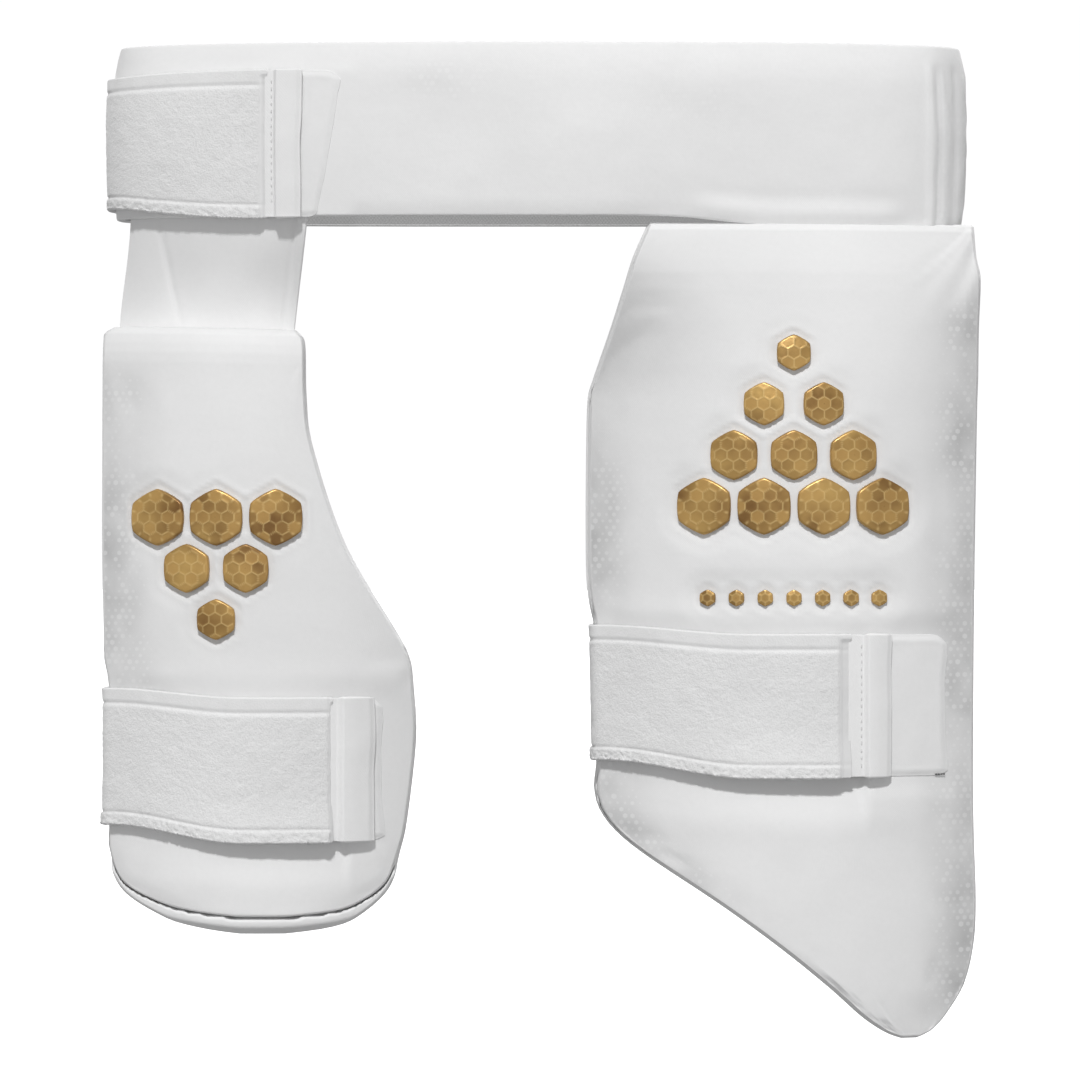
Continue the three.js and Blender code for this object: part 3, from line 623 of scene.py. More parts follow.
class Pad:
    """A pad's outline and faces: front, back, and rear, the face of its backing that lies on the thigh."""

    def __init__(self, outline, **sizes):
        self.__dict__.update(sizes)
        rows = catmull_rom(outline, np.linspace(0, 1, 4001))
        down = np.linspace(0, rows[-1, 0], 1501)
        raw = np.stack([down, *(np.interp(down, rows[:, 0], rows[:, k]) for k in (1, 2))], -1)
        soft = smoothed(raw.copy(), 250)
        keep = ease((down - 0.01) / 0.03)[:, None] * ease((0.95 - down) / 0.05)[:, None]
        self.sections = mix(raw, soft, keep)
        down = (1 - np.cos(math.pi * np.linspace(0, 1, 91))) / 2
        sides = [np.stack([x, self.level_at(x, down)], -1) for x in self.section(down)]
        self.rim = np.concatenate([sides[0], sides[1][::-1]])

    def section(self, down):
        """Left and right x at a share of the way down."""
        row = [np.interp(down, self.sections[:, 0], self.sections[:, k]) for k in (1, 2)]
        return self.centre + self.width * row[0], self.centre + self.width * row[1]

    def level_at(self, x, down):
        """z at x and a share of the way down. The top edge slants, and the slant fades out below it."""
        slant = self.slant * (1 - ease(down / 0.15)) * (x - self.centre) / self.width
        return self.top - self.height * down - slant

    def rim_distance(self, x, z):
        nearest = np.full(np.broadcast(x, z).shape, 1e9)
        for (ax, az), (bx, bz) in zip(self.rim[:-1], self.rim[1:]):
            dx, dz = bx - ax, bz - az
            along = np.clip(((x - ax) * dx + (z - az) * dz) / max(dx * dx + dz * dz, 1e-9), 0, 1)
            nearest = np.minimum(nearest, np.hypot(x - ax - dx * along, z - az - dz * along))
        return nearest

    def back(self, x, z):
        share = (x - self.centre) / (self.width / 2)
        level = 2 * (self.top - z) / self.height - 1
        thigh = BELT_FRONT + self.inset + self.wrap * share ** 2 - PAD_BOW * (1 - level ** 2)
        if not self.settle:
            return thigh
        return mix(belt_front_y(x) + SEAM_INSET, thigh, ease((self.top - z) / self.settle))

    def front(self, x, z):
        inward = np.minimum(1, self.rim_distance(x, z) / self.bevel)
        side = np.sqrt(np.clip(1 - (1 - inward) ** 2, 0, 1))
        top = np.interp((self.level_at(x, 0) - z) / self.top_bevel, *zip(*self.top_profile))
        edge = mix(PAD_EDGE, self.edge, np.minimum(top, 1))
        return self.back(x, z) - edge - (self.thickness - edge) * side * top

    def rear(self, x, z):
        return self.back(x, z) + CLEARANCE + BACKING_WALL

    def lifted(self, face, outward, x, z, lift):
        """Points lifted off a face, square to its line in plan. outward is -1 at the front."""
        slope = face(x + 0.5, z) - face(x - 0.5, z)
        reach = outward * lift / np.hypot(slope, 1)
        x, y, z = np.broadcast_arrays(x - slope * reach, face(x, z) + reach, z)
        return np.stack([x, y, z], -1)


outer_pad = Pad(
    OUTER_OUTLINE, width=180.5, height=373, thickness=21, top=OUTER_TOP, centre=BELT_END + 4.5 - 180.5 / 2,
    bevel=1.0, top_bevel=20, edge=9,
    top_profile=[
        (0, .1), (.12, .27), (.5, .42), (.85, .56), (1.1, .65), (1.5, .73), (2.2, .82), (3.2, .91), (5, 1)
    ],
    wrap=40, inset=13, settle=80, slant=0,
)
inner_pad = Pad(
    INNER_OUTLINE, width=144.5, height=269.5, thickness=17, top=INNER_TOP, centre=-BELT_END - 3.8 + 144.5 / 2,
    bevel=1.0, top_bevel=11, edge=9, top_profile=[(0, .35), (.2, .68), (.6, .85), (1, .96), (1.4, 1)],
    wrap=32, inset=21, settle=0, slant=3.6,
)
outer_strap = dict(
    end=outer_pad.centre + outer_pad.width / 2 - 62, top=OUTER_TOP - 188,
    width=64.5, depth=96, tab=16.6, patch=44,
)
inner_strap = dict(
    end=inner_pad.centre + inner_pad.width / 2 - 38.5, top=INNER_TOP - 169,
    width=65.4, depth=88, tab=16.8, patch=22,
)


def tile_places(pad, rows, shift, down):
    """Each raised hexagon's x, z and width across its flats."""
    return [
        (pad.centre + shift + TILE_PITCH * (i - (count - 1) / 2),
         pad.top - down - TILE_PITCH * math.cos(math.pi / 6) * row, TILE_ACROSS * size)
        for row, (count, size) in enumerate(rows) for i in range(count)
    ]


outer_tiles = tile_places(outer_pad, OUTER_TILE_ROWS, 3, 59)
inner_tiles = tile_places(inner_pad, INNER_TILE_ROWS, -18, 86)
stud_places = [
    (outer_pad.centre + 3 + STUD_PITCH * (i - (STUD_COUNT - 1) / 2), outer_strap["top"] + 17, STUD_ACROSS)
    for i in range(STUD_COUNT)
]


def hexagon_distance(x, z):
    """Distance from the centre of a hexagon with a corner up, measured across its flats."""
    x, z = np.abs(x), np.abs(z)
    return np.maximum(x, x / 2 + z * math.sqrt(3) / 2)


def pad_detail(pad, strap, tiles, x, z):
    """How far a cushion's face stands back from its smooth shape, in mm; below 0 it stands forward."""
    seed = 10 if pad is outer_pad else 30
    inward = ease(pad.rim_distance(x, z) / 7)
    detail = 0.4 * noise(x, z, 55, seed) + 0.16 * noise(x, z, 19, seed + 1) + 0.04 * noise(x, z, 6, seed + 2)
    for tile_x, tile_z, across in tiles:
        away = hexagon_distance(x - tile_x, z - tile_z) - across / 2
        detail = detail + 0.85 * ridge(away, 1.1, 0.8) - 0.35 * ridge(away, 3.2, 1.2)
    bottom = strap["top"] - strap["width"]
    left = pad.section(np.clip((pad.top - bottom) / pad.height, 0, 1))[0]
    along = ease((x - left - 4) / (strap["end"] - left))
    held = ease((x - left - 3) / 14) * (1 - ease((x - strap["end"] - 5) / 5))
    hollow = ease((z - bottom + 28) / 26) * (1 - ease((z - strap["top"] + 34) / 24))
    gap = (1.2 + 2.4 * along) * held * hollow * (1 if pad is outer_pad else 0.6)
    beside = ridge(z, strap["top"] + 9, 7) + ridge(z, bottom - 19, 7)
    swell = 0.5 * (1 - ease((x - strap["end"] - 20) / 30)) * beside
    under = ease((strap["top"] + 1 - z) / 2) * ease((z - bottom + 1) / 2)
    return (detail * (1 - under) + gap - swell) * inward


def print_amount(pad, x, z):
    """How much of the halftone print shows, from 0 to 1: along a pad's sides, fading inwards and at its rim."""
    down = (pad.top - z) / pad.height
    left, right = pad.section(np.clip(down, 0, 1))
    patches = 0.4 + 0.6 * ease(0.75 + 0.9 * noise(x, z, 28, 40))
    patches = patches * ease((pad.rim_distance(x, z) - 0.7) / 0.7)
    if pad is outer_pad:
        on_left = ease(1 - (x - left) / 30) * (ridge(down, 0.4, 0.17) + 0.8 * ridge(down, 0.74, 0.1))
        on_right = ease(1 - (right - x) / 32) * ease((down - 0.05) / 0.1) * ease((0.99 - down) / 0.05)
        return np.clip(np.maximum(on_left, on_right), 0, 1) * patches
    on_left = ease(1 - (x - left) / 34) * ease((down - 0.03) / 0.1) * ease((0.64 - down) / 0.05)
    low = 0.5 * ease(1 - (x - left) / 25) * ease((down - 0.87) / 0.03)
    return np.clip(np.maximum(on_left, low), 0, 1) * patches


def pad_grid(pad, columns, rows):
    """x and z of a grid over a pad's outline, closer together near the rim, and its places on the fabric."""
    even = np.linspace(0, 1, rows)
    down = mix(even, (1 - np.cos(math.pi * even)) / 2, 0.6)
    left, right = pad.section(down)
    across = (1 - np.cos(math.pi * np.linspace(0, 1, columns))) / 2
    x = mix(left[None, :], right[None, :], across[:, None])
    return x, pad.level_at(x, down[None, :]), across, down


def puffed(pad, inflate=4.0, most=1.6):
    """How far pressure swells a pad's face, by a cloth simulation on a coarse grid, and that grid's places."""
    x, z, across, down = pad_grid(pad, 40, 76)
    outer = np.stack([x, pad.front(x, z), z], -1)
    skin = Skin(outer, np.stack([x, pad.back(x, z), z], -1), wall=1, bulge=0.3)
    made = make_object("swelling", skin.points, skin.faces, [plain_fabric])
    pins = made.vertex_groups.new(name="pins")
    pins.add([int(k) for k in np.flatnonzero(skin.layer > 0)], 1.0, "REPLACE")
    cloth = made.modifiers.new("cloth", "CLOTH")
    cloth.settings.use_pressure = True
    cloth.settings.uniform_pressure_force = inflate
    cloth.settings.vertex_group_mass = "pins"
    cloth.settings.tension_stiffness = cloth.settings.compression_stiffness = 25
    cloth.settings.effector_weights.gravity = 0
    cloth.point_cache.frame_start, cloth.point_cache.frame_end = 1, 20
    for step in range(1, 21):
        bpy.context.scene.frame_set(step)
    evaluated = made.evaluated_get(bpy.context.evaluated_depsgraph_get())
    after = np.empty(len(evaluated.data.vertices) * 3)
    evaluated.data.vertices.foreach_get("co", after)
    bpy.context.scene.frame_set(1)
    moved = (after.reshape(-1, 3) / MM - skin.points)[: x.size, 1].reshape(x.shape)
    bpy.data.objects.remove(made)
    return np.clip(moved, -most, most), across, down


def regridded(values, old_across, old_down, across, down):
    """Values on a coarse grid, read off at a finer grid's places."""
    halfway = np.stack([np.interp(across, old_across, column) for column in values.T], 1)
    return np.stack([np.interp(down, old_down, row) for row in halfway])


def make_cushion(name, pad, strap, tiles, columns, rows, node):
    x, z, across, down = pad_grid(pad, columns, rows)
    detail = pad_detail(pad, strap, tiles, x, z)
    swell, old_across, old_down = puffed(pad)
    bottom = strap["top"] - strap["width"]
    free = 1 - ease((z - bottom + 12) / 12) * ease((strap["top"] + 12 - z) / 12)
    free = free * ease(np.hypot(x - x[0, 0], z - z[0, 0]) / 80)
    for tile_x, tile_z, width in tiles:
        free = free * ease((np.hypot(x - tile_x, z - tile_z) - width / 2) / 12)
    detail = detail + regridded(swell, old_across, old_down, across, down) * free
    outer = np.stack([x, pad.front(x, z) + detail, z], -1)
    skin = Skin(outer, np.stack([x, pad.back(x, z), z], -1), wall=5, bulge=0.1)
    made = make_object(
        name, skin.points, skin.faces, [pad_fabric], cloth=skin.cloth(across * pad.width, down * pad.height),
        print=skin.spread(print_amount(pad, x, z)) * (skin.layer < 0.15),
    )
    return finish_piece(made, "pad_fabric", node)


def make_backing(name, pad, columns, rows, node, reach=0):
    x, z, across, down = pad_grid(pad, columns, rows)
    lip = reach * down[None, :] ** 20 + 0 * x
    inward = pad.rim_distance(x, z)
    binding = 0.6 * ease((9 - inward) / 1.2) - 0.6 * ridge(inward, 9.6, 0.8)
    quilt = (0.35 * noise(x, z, 26, 50) + 0.12 * noise(x, z, 9, 51)) * ease(inward / 12 - 0.8)
    left, right = pad.section(np.clip((pad.top - z + lip) / pad.height, 0, 1))
    out = ((x < left) | (x > right) | (z - lip < pad.top - pad.height)) & (down > 0.5)
    beyond = np.where(out, pad.rim_distance(x, z - lip), 0)
    roll = ease((beyond - 0.1) / 0.45) * np.sqrt(np.clip(1 - (beyond / (reach + 0.4)) ** 6, 0, 1))
    forward = (pad.thickness - 0.4) * roll
    outer = np.stack([x, pad.rear(x, z) + binding + quilt - 0.3 * forward, z - lip], -1)
    inner = np.stack([x, pad.back(x, z) + CLEARANCE - forward, z - lip], -1)
    skin = Skin(outer, inner, wall=4, bulge=0.2 if reach else 0.7)
    far, deep = across * pad.width, down * pad.height
    bound = np.maximum(skin.spread(ease((10.4 - inward) / 2)), skin.layer > 0)
    made = make_object(name, skin.points, skin.faces, [lining], cloth=skin.cloth(far, deep), bound=bound)
    return finish_piece(made, "lining", node)


# ---- straps

def loop_line(pad, strap, z, position):
    """A thigh loop's line in plan at heights z, at positions from 0 at its tab to 37 at its sewn end."""
    left, right = pad.section(np.clip((pad.top - z) / pad.height, 0, 1))
    sewn = right - STRAP_INSET
    s = position
    x_front = mix(strap["end"], left + ROLL, s / 9)
    x_roll = left + ROLL * (1 - np.sin(np.clip((s - 9) / 7, 0, 1) * math.pi / 2))
    x = np.where(s < 9, x_front, x_roll)
    y = pad.front(x, z)
    y = np.where(s > 16, mix(y, pad.rear(left, z), np.clip(s - 16, 0, 1)), y)
    share = np.clip((s - 17) / 16, 0, 1)
    angle = math.pi * (1 - share)
    arch_x = mix(left, sewn, (1 + signed_power(np.cos(angle), 2 / LOOP_FULLNESS)) / 2)
    base = mix(pad.rear(left, z), pad.rear(sewn, z) + STRAP_INSET, share)
    arch_y = base + strap["depth"] * np.clip(np.sin(angle), 0, 1) ** (2 / LOOP_FULLNESS)
    x, y = np.where(s > 17, arch_x, x), np.where(s > 17, arch_y, y)
    tuck = np.clip((s - 33) / 4, 0, 1)
    inside = pad.lifted(pad.rear, 1, sewn - STRAP_TUCK * tuck, z, 2 * LOOP_CLEARANCE + STRAP_WALL)
    tuck_y = mix(pad.rear(sewn, z) + STRAP_INSET, inside[..., 1], np.clip(s - 33, 0, 1))
    return np.stack([np.where(s > 33, inside[..., 0], x), np.where(s > 33, tuck_y, y)], -1)


def terry_relief(along, down, width, first, last):
    """Relief of a terry strap, and how much of it is pile: a plain hem along its top, pile, a looped lower edge
    and a bare gutter beside the tab, where the second is below 0 and the terry material paints shade. Pile lies
    between first and last."""
    pile = ease((down - 6.6) / 1.8) * ease((width - 5.2 - down) / 1.2) * ease((along - first) / 1.4)
    pile = pile * ease((last - along) / 0.8)
    loops = 0.5 * noise(along, down, 0.7, 61) + 0.2 * noise(along, down, 1.3, 62)
    loops = loops + 0.12 * noise(along, down, 7, 63)
    height = 0.45 * pile + 0.3 * np.maximum(pile, 0.3) * loops
    height = height + 0.4 * ease((6.6 - down) / 1.6) * ease((along - first) / 1.4)
    height = height - 0.22 * ridge(down, 6.8, 0.8) + 0.12 * noise(along, down, 6, 64)
    low = ease((down - (width - 5.2)) / 0.8) * ease((along - first) / 0.8)
    scallop = 0.35 * np.abs(np.sin(math.pi * along / 1.7)) + 0.4 * noise(along, down, 0.75, 65)
    height = height + low * (0.7 + scallop) - 0.2 * ridge(down, width - 5.4, 0.8)
    gutter = ease((first - along) / 1.2) * ease((down - 1.5) / 2)
    height = height - 1.0 * gutter + 0.2 * noise(along, down, 42, 66) * pile
    # The second value is below 0 in the gutter, where the terry material paints shade.
    return height, np.clip(pile + low + 0.45, 0, 1) * (1 - gutter) - gutter


def scalloped(along, down, width):
    """How far the looped lower edge hangs down."""
    return 0.5 * np.abs(np.sin(math.pi * along / 1.7)) * ease((down - width + 3) / 3)


def make_thigh_strap(name, pad, strap, node, flange):
    middle = strap["top"] - strap["width"] / 2
    dense = np.linspace(0, 37, 3000)
    line = loop_line(pad, strap, np.full_like(dense, middle), dense)
    far = np.concatenate([[0], np.cumsum(np.linalg.norm(np.diff(line, axis=0), axis=1))])
    front_length = np.interp(17, dense, far)
    fine = places(front_length + 30, 0.74)
    fine = fine[: np.searchsorted(fine, front_length + 28)]
    along = np.concatenate([fine, np.arange(front_length + 29, far[-1], 1.9), [far[-1]]])
    position = np.interp(along, far, dense)
    down = places(strap["width"], 0.74)
    share = position / 37
    top = read_table(THIGH_STRAP_EDGES, 1, share)[:, None]
    bottom = read_table(THIGH_STRAP_EDGES, 2, share)[:, None] - 1
    z = strap["top"] + strap["width"] * mix(top, bottom, down[None, :] / strap["width"])
    plan = smoothed(loop_line(pad, strap, z, position[:, None] + 0 * z), 8)
    way = np.gradient(plan, axis=0)
    way /= np.maximum(np.linalg.norm(way, axis=-1, keepdims=True), 1e-9)
    normal = np.stack([-way[..., 1], way[..., 0]], -1)
    far_along, deep = along[:, None], down[None, :]
    height, pile = terry_relief(far_along, deep, strap["width"], flange, far[-1] - 30)
    sag = 0.6 * noise(far_along, deep * 0.4, 38, 67) * ease((far_along - front_length) / 20)
    hanging = scalloped(far_along, deep, strap["width"])
    flare = 1.9 * ease((deep - strap["width"] + 22) / 22) * (1 - ease((far_along - 30) / 60))

    def face(lift):
        return np.concatenate([plan + normal * (lift + sag + flare)[..., None], (z - hanging)[..., None]], -1)

    outer, inner = face(LOOP_CLEARANCE + STRAP_WALL + height), face(LOOP_CLEARANCE + 0.4 + 0 * height)
    skin = Skin(outer, inner, wall=3, bulge=0.5)
    made = make_object(
        name, skin.points, skin.faces, [terry], cloth=skin.cloth(along, down), pile=skin.spread(pile)
    )
    return finish_piece(made, "terry", node)


def tab_relief(across, width, start):
    """A tab's face: a low sewn flange up to its start, then a round ridge that is highest near its left side."""
    share = np.clip((across - start) / (width - start), 0, 1)
    height = 2.9 * ease(share / 0.13) * (1 - 0.35 * ease((share - 0.3) / 0.7))
    return 0.5 + height * (1 - 0.5 * ease((share - 0.8) / 0.2))


def make_flat_pair(prefix, base, height, tab_width, start, patch_width, taper, seed):
    """A tab and the patch under it. base(across, down, lift) gives points right of the strap's seam."""
    across, down = places(patch_width, 1.0), places(height, 1.0)
    far = across[:, None] * (1 - taper / patch_width * down[None, :] / height)
    deep = down[None, :] + 0 * far
    edge = np.minimum(np.minimum(patch_width - across[:, None], deep), height - deep)
    thin = ease(edge / 2.5)
    corner = 4.5 * np.clip((across[:, None] - patch_width + 9) / 9, 0, 1) ** 3
    deep_in = deep + corner * (1 - deep / height) ** 3 - 0.5 * corner * (deep / height) ** 3
    far = far - 1.2 * ease((far - patch_width / 2) / 8) * noise(0 * far, deep, 22, seed) * (deep > 6)
    rise = mix(0.02, 0.55, thin) + (0.12 * noise(far, deep, 7, seed) + 0.12 * ridge(edge, 3.0, 0.9)) * thin
    patch = Skin(base(far, deep_in, CLEARANCE + rise), base(far, deep_in, rise - 0.7), wall=3, bulge=0.2)
    made = make_object(
        f"{prefix}_patch_cover", patch.points, patch.faces, [loop_fabric], cloth=patch.cloth(across, down)
    )
    finish_piece(made, "loop_fabric", f"{prefix}_patch")
    lead = 2.4
    across = places(tab_width + lead, 0.5, 1.0)
    far = across[:, None] - lead + 0 * down[None, :]
    deep = down[None, :] + 0 * far
    wavy = far + 0.5 * noise(0 * far, deep, 17, seed + 1) * ease((far - start) / 6)
    rise = tab_relief(far, tab_width, start) + 0.2 * noise(far, deep, 11, seed + 2) * ease((far - start) / 2)
    low = 2 * CLEARANCE + PATCH_WALL
    tab = Skin(base(wavy, deep, low + rise), base(wavy, deep, low + 0 * rise), wall=3, bulge=0.5)
    made = make_object(
        f"{prefix}_tab_cover", tab.points, tab.faces, [tab_fabric], cloth=tab.cloth(across, down)
    )
    finish_piece(made, "loop_fabric", f"{prefix}_tab")


def beside_strap(pad, strap):
    left = strap["end"] + STRAP_WALL / 2 + CLEARANCE

    def base(across, down, lift):
        return pad.lifted(pad.front, -1, left + across, strap["top"] - down, lift)

    return base


WAIST_STRAP = dict(width=67, top=-BELT_HEM - 12.2, end=73.5, back=90, tab=14, patch=32, taper=10)


def beside_waist_strap(across, down, lift):
    x = WAIST_STRAP["end"] - BELT_END + STRAP_WALL / 2 + CLEARANCE + across
    return belt_face(front_turn(x), WAIST_STRAP["top"] - down, lift)


def make_waist_strap():
    width = WAIST_STRAP["width"]
    first = float(front_turn(WAIST_STRAP["end"] - BELT_END))
    last = -2 - float(front_turn(WAIST_STRAP["back"] - BELT_END))
    turns, along = even_turns(first, last, 0.85)
    down = places(width, 0.8)
    share = (turns - first) / (last - first)
    top = read_table(WAIST_STRAP_EDGES, 1, share)[:, None]
    bottom = read_table(WAIST_STRAP_EDGES, 2, share)[:, None] - 1
    z = WAIST_STRAP["top"] + width * mix(top, bottom, down[None, :] / width)
    height, pile = terry_relief(along[:, None], down[None, :], width, 3.0, along[-1] - 6)
    turn = turns[:, None] + 0 * z
    outer = belt_face(turn, z, CLEARANCE + STRAP_WALL + height)
    outer[..., 2] -= scalloped(along[:, None], down[None, :], width)
    skin = Skin(outer, belt_face(turn, z, CLEARANCE + 0 * z), wall=3, bulge=0.5)
    made = make_object(
        "waist_strap_cover", skin.points, skin.faces, [terry],
        cloth=skin.cloth(along, down), pile=skin.spread(pile),
    )
    return finish_piece(made, "terry", "waist_strap")


# ---- hanger panel

def make_hanger():
    wall, drop = HANGER["wall"], HANGER["drop"]
    upper, lower = BELT_HEM + HANGER["tuck"], INNER_TOP - HANGER["tuck"]
    down, across = places(upper - lower, 1.2), places(HANGER["top"], 1.2)
    v, u = down[None, :] / down[-1], across[:, None] / across[-1]
    z = upper - down[None, :] + 0 * u
    middle = HANGER["inset"] - BELT_END + HANGER["top"] / 2 - HANGER["shift"] * v
    x = middle + (u - 0.5) * mix(HANGER["top"], HANGER["bottom"], v)
    fall = np.clip((BELT_HEM - z) / drop, 0, 1)
    crease = HANGER["crease"] * ridge(u, 0.2 + 0.2 * v, 0.12) + 0.9 * ridge(u, 0.13 + 0.27 * v, 0.02)
    crease = crease + 0.5 * noise(x, z * 0.6, 16, 71) + 0.3 * ridge(u, 0.55 - 0.1 * v, 0.05)
    binding = 0.6 * ease((u - 0.945) / 0.012) - 0.5 * ridge(u, 0.94, 0.008)

    def face(back, lift):
        belt_x, belt_y = belt_plan(front_turn(x), -BELT_WALL - BELT_BULGE - CLEARANCE - back)
        at_pad = inner_pad.lifted(inner_pad.rear, 1, x, z, CLEARANCE + back)
        px, py = mix(belt_x, at_pad[..., 0], ease(fall)), mix(belt_y, at_pad[..., 1], ease(fall))
        return np.stack([px, py + crease * np.sin(math.pi * fall) - lift, z], -1)

    skin = Skin(face(0, binding), face(wall, -0.3 * binding), wall=3, bulge=0.6)
    made = make_object(
        "hanger_cover", skin.points, skin.faces, [plain_fabric], cloth=skin.cloth(across, down)
    )
    return finish_piece(made, "belt_fabric", "hanger_panel")


# ---- raised hexagons

def make_tile(name, pad, x, z, across, relief, rings, sides, node):
    """A domed hexagon with soft corners, a corner up, and a honeycomb in low relief on its face."""
    angle = 2 * math.pi * np.arange(sides) / sides
    edge = 1 / np.cos(np.mod(angle, math.pi / 3) - math.pi / 6)
    edge = 1 / (edge ** -10 + 1.11 ** -10) ** 0.1
    edge = edge / edge.min()
    inner_share = np.linspace(0.92, 0, rings)
    share = np.concatenate([[1, 1, 0.985, 0.955], inner_share])
    height = np.concatenate([[-0.2, 0.42, 0.62, 0.74], 0.78 + 0.22 * (1 - (inner_share / 0.92) ** 2)])
    radius = share[:, None] * edge[None, :] * across / 2
    px, pz = x + radius * np.sin(angle), z + radius * np.cos(angle)
    cell = 5.6 if across > 10 else 3.4
    inside, middle = honeycomb(px - x, pz - z, cell)
    lines = ridge(inside, 0, 0.26) * (share[:, None] < 0.93)
    cells = ease(0.3 + 1.2 * noise(middle[..., 0] + x, middle[..., 1] + z, 2.3, 81))
    lift = CLEARANCE + relief * height[:, None] + 0.14 * lines
    points = pad.lifted(pad.front, -1, px, pz, lift).reshape(-1, 3)
    last = len(share) - 2
    i, j = np.meshgrid(np.arange(last), np.arange(sides), indexing="ij")
    ring, after = i * sides, (j + 1) % sides
    faces = np.stack([ring + j, ring + after, ring + sides + after, ring + sides + j], -1).reshape(-1, 4)
    below = pad.lifted(pad.front, -1, x, z, CLEARANCE)[None]
    points = np.vstack([points[: (last + 1) * sides], points[-1:], below])
    crown, under = len(points) - 2, len(points) - 1
    fans = [(last * sides + k, last * sides + (k + 1) % sides, crown) for k in range(sides)]
    fans += [((k + 1) % sides, k, under) for k in range(sides)]
    shades = {
        key: np.concatenate([values.ravel()[: (last + 1) * sides], [0, 0]])
        for key, values in (("lines", lines), ("cells", cells))
    }
    made = make_object(name, points, [*faces.tolist(), *fans], [gold], **shades)
    return finish_piece(made, "gold_relief", node)


# ---- printed stripes and stitches

def make_stripe(name, x, z, width, height, lean, material):
    """A slanted printed stripe on the outer pad, low right: the middle of its lower edge is at x, z."""
    across, up = np.linspace(0, 1, 6), np.linspace(0, 1, 9)
    px = x + (across[:, None] - 0.5) * width + lean * up[None, :]
    pz = z + up[None, :] * height + 0.34 * (px - x)
    detail = pad_detail(outer_pad, outer_strap, outer_tiles, px, pz)

    def face(lift):
        points = outer_pad.lifted(outer_pad.front, -1, px, pz, lift)
        points[..., 1] += detail
        return points

    skin = Skin(face(0.14), face(-0.2), wall=1, bulge=0.3)
    made = make_object(
        name, skin.points, skin.faces, [material], cloth=skin.cloth(across * width, up * height)
    )
    return finish_piece(made, "pad_fabric")


def make_stitches(name, slot, runs, material):
    """Rows of stitches as one piece. Each run is points, the normals there, and a stitch's length and gap."""
    parts = []
    for points, normals, length, gap in runs:
        points, normals = np.asarray(points, float), np.asarray(normals, float)
        far = np.concatenate([[0], np.cumsum(np.linalg.norm(np.diff(points, axis=0), axis=1))])
        for start in np.arange(gap, far[-1] - length, length + gap):
            ends = [[np.interp(s, far, points[:, k]) for k in range(3)] for s in (start, start + length)]
            normal = np.array([np.interp(start, far, normals[:, k]) for k in range(3)])
            parts.append(stitch(*ends, normal / np.linalg.norm(normal)))
    points, faces = joined(parts)
    return finish_piece(make_object(name, points, faces, [material]), slot)


def seam_run(base, across, down, lift, length=2.4, gap=1.0):
    """A run of stitches over a face. base(across, down, lift) gives points, and its lift the normals."""
    across, down = np.broadcast_arrays(np.asarray(across, float), np.asarray(down, float))
    points = base(across, down, lift + 0 * across)
    return points, base(across, down, lift + 1 + 0 * across) - points, length, gap


# ---- build

make_belt()
make_hanger()
make_cushion("outer_cushion", outer_pad, outer_strap, [*outer_tiles, *stud_places], 134, 260, "outer_pad")
make_cushion("inner_cushion", inner_pad, inner_strap, inner_tiles, 116, 194, "inner_pad")
make_backing("outer_lining", outer_pad, 76, 140, "outer_backing")
make_backing("inner_lining", inner_pad, 80, 150, "inner_backing", INNER_LIP + 1.4)
make_thigh_strap("outer_strap_cover", outer_pad, outer_strap, "outer_strap", 5.0)
make_thigh_strap("inner_strap_cover", inner_pad, inner_strap, "inner_strap", 1.2)
make_waist_strap()
flat_bases = {
    "outer": beside_strap(outer_pad, outer_strap), "inner": beside_strap(inner_pad, inner_strap),
    "waist": beside_waist_strap,
}
for prefix, strap, start, taper, seed in (
    ("outer", outer_strap, 4.4, 0, 91),
    ("inner", inner_strap, 0.6, 0, 94),
    ("waist", WAIST_STRAP, 1.6, WAIST_STRAP["taper"], 97),
):
    make_flat_pair(prefix, flat_bases[prefix], strap["width"], strap["tab"], start, strap["patch"], taper, seed)
for prefix, pad, found in (("outer_tile", outer_pad, outer_tiles), ("inner_tile", inner_pad, inner_tiles)):
    for i, (x, z, across) in enumerate(found):
        make_tile(f"{prefix}_cover_{i + 1}", pad, x, z, across, TILE_RELIEF, 22, 72, f"{prefix}_{i + 1}")
for i, (x, z, across) in enumerate(stud_places):
    make_tile(f"outer_stud_cover_{i + 1}", outer_pad, x, z, across, STUD_RELIEF, 8, 36, f"outer_stud_{i + 1}")
for i in range(6):
    make_stripe(f"black_stripe_{i + 1}", 149 + 7.0 * i, -371 + 2.4 * i, 4.2, 12, 3.4, black_ink)
for i in range(3):
    make_stripe(f"gold_stripe_{i + 1}", 168 + 5.6 * i, -382 + 1.9 * i, 3.2, 8, 2.2, gold_ink)
seams = {
    "outer": (outer_strap["width"], 3.4),
    "inner": (inner_strap["width"], 1.7),
    "waist": (WAIST_STRAP["width"], 0.7),
}
for prefix, (height, across) in seams.items():
    start = 4.4 if prefix == "outer" else 1.6
    lift = 2 * CLEARANCE + PATCH_WALL + tab_relief(across, WAIST_STRAP["tab"], start)
    runs = [seam_run(flat_bases[prefix], across, np.linspace(3, height - 3, 60), lift - 0.1)]
    make_stitches(f"{prefix}_tab_stitches", "loop_fabric", runs, sewing_thread)
make_stitches("outer_patch_bartack", "loop_fabric", [
    seam_run(
        flat_bases["outer"], np.linspace(38.0, 43.2, 9), outer_strap["width"] - 0.6 + 0.2 * k, 0.8, 1.3, 0.2
    )
    for k in range(2)
], dark_thread)
make_stitches("inner_tab_bartack", "loop_fabric", [
    seam_run(flat_bases["inner"], np.linspace(14.2, 16.4, 5), 2.0, 3.0, 0.7, 0.1)
], dark_thread)


# ---- stage, light and camera

FLOOR_REACH, FLOOR_LEVEL = 40, -0.47
CAMERA_AWAY, CAMERA_LEVEL, CAMERA_LENS = 3.6, -0.1884, 257.6
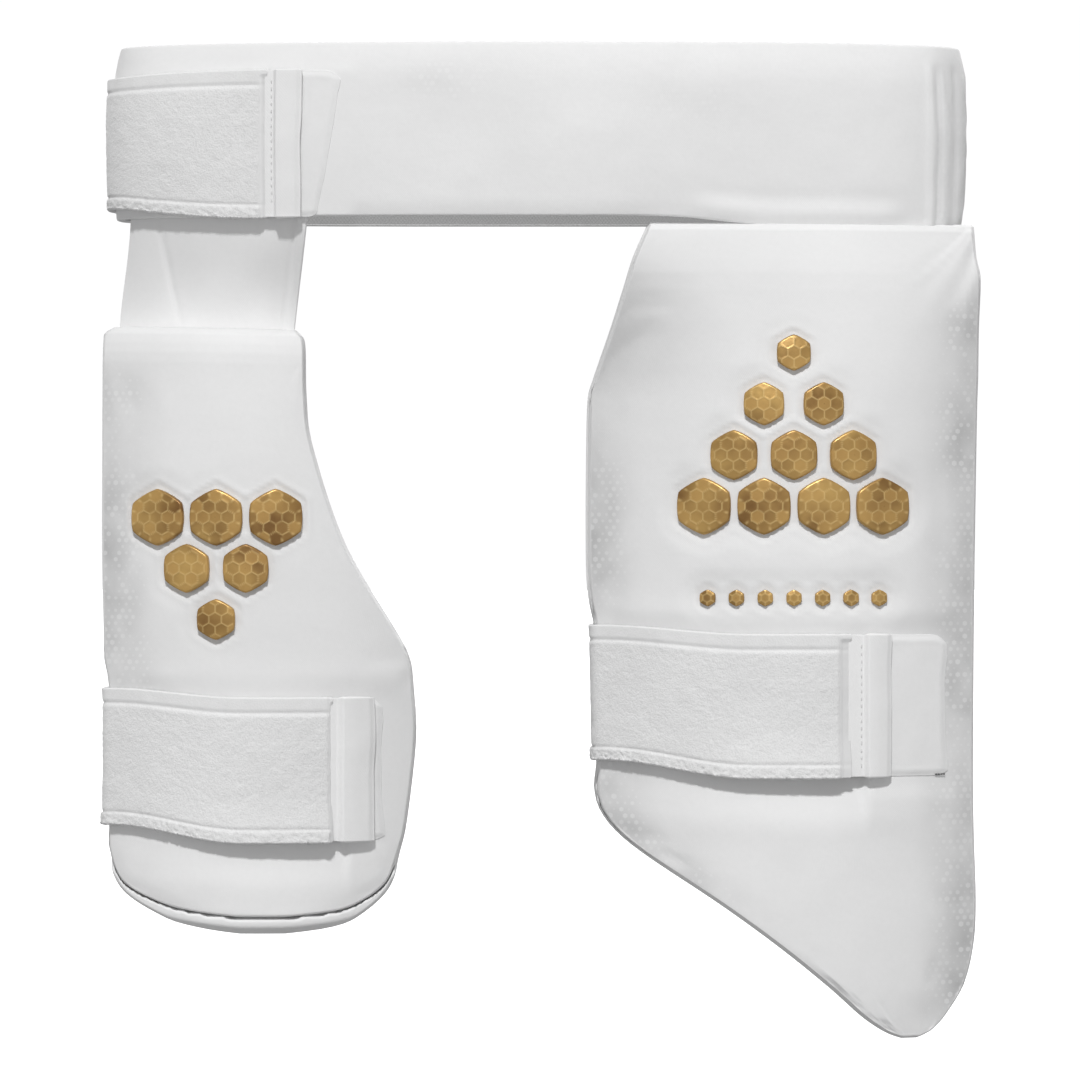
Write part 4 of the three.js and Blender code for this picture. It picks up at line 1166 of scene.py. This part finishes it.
# The studio's light from straight below, 0, to straight above, 1: bright walls at the sides' level
STUDIO_LIGHT = [(0.0, 0.34), (0.44, 0.30), (0.48, 1.02), (0.54, 1.02), (0.565, 0.36), (0.75, 0.40), (1.0, 0.44)]
# name, direction that it comes from, strength, angle
SUNS = [
    ("key", (-0.1, -1.0, 1.0), 2.28, 0.09), ("fill", (0.3, -1.0, -0.4), 0.12, 0.9), ("back", (0.35, 1.0, 0.9), 1.1, 0.6)
]


def pale_floor():
    nodes = Nodes("floor")
    patch = nodes.noise(nodes.object_place(), 0.5, 2.0)
    nodes.surface(
        Base_Color=nodes.blend(patch, grey(0.88), grey(0.92)), Roughness=0.9,
        Emission_Color=(1, 1, 1, 1), Emission_Strength=0.6,
    )
    return nodes.material


floor_mesh = bpy.data.meshes.new("floor")
corners = [(x * FLOOR_REACH, y * FLOOR_REACH, FLOOR_LEVEL) for x, y in ((-1, -1), (1, -1), (1, 1), (-1, 1))]
floor_mesh.from_pydata(corners, [], [(0, 1, 2, 3)])
floor_mesh.materials.append(pale_floor())
floor = bpy.data.objects.new("floor", floor_mesh)
bpy.context.scene.collection.objects.link(floor)
floor.visible_diffuse = False
floor.visible_glossy = False
floor.visible_shadow = False

world = bpy.data.worlds.new("studio")
world.use_nodes = True
bpy.context.scene.world = world
tree = world.node_tree
background = tree.nodes["Background"]
place = tree.nodes.new("ShaderNodeTexCoord")
axes = tree.nodes.new("ShaderNodeSeparateXYZ")
tree.links.new(place.outputs["Generated"], axes.inputs[0])
ramp = tree.nodes.new("ShaderNodeValToRGB")
scale = tree.nodes.new("ShaderNodeMapRange")
scale.inputs["From Min"].default_value = -1
tree.links.new(axes.outputs[2], scale.inputs["Value"])
tree.links.new(scale.outputs[0], ramp.inputs[0])
for index, (at, value) in enumerate(STUDIO_LIGHT):
    stop = ramp.color_ramp.elements[index] if index < 2 else ramp.color_ramp.elements.new(at)
    stop.position = at
    stop.color = (value, value, value * 1.003, 1)
tree.links.new(ramp.outputs[0], background.inputs[0])
background.inputs[1].default_value = 1.0

for name, direction, strength, angle in SUNS:
    lamp = bpy.data.lights.new(name, "SUN")
    lamp.energy = strength
    lamp.angle = angle
    light = bpy.data.objects.new(name, lamp)
    light.rotation_mode = "QUATERNION"
    light.rotation_quaternion = Vector(direction).to_track_quat("Z", "Y")
    bpy.context.scene.collection.objects.link(light)

camera_data = bpy.data.cameras.new("camera")
camera_data.sensor_width = 36
camera_data.lens = CAMERA_LENS
camera = bpy.data.objects.new("camera", camera_data)
camera.location = (0, -CAMERA_AWAY, CAMERA_LEVEL)
camera.rotation_euler = (math.pi / 2, 0, 0)
bpy.context.scene.collection.objects.link(camera)
bpy.context.scene.camera = camera
bpy.context.scene.view_settings.view_transform = "Standard"
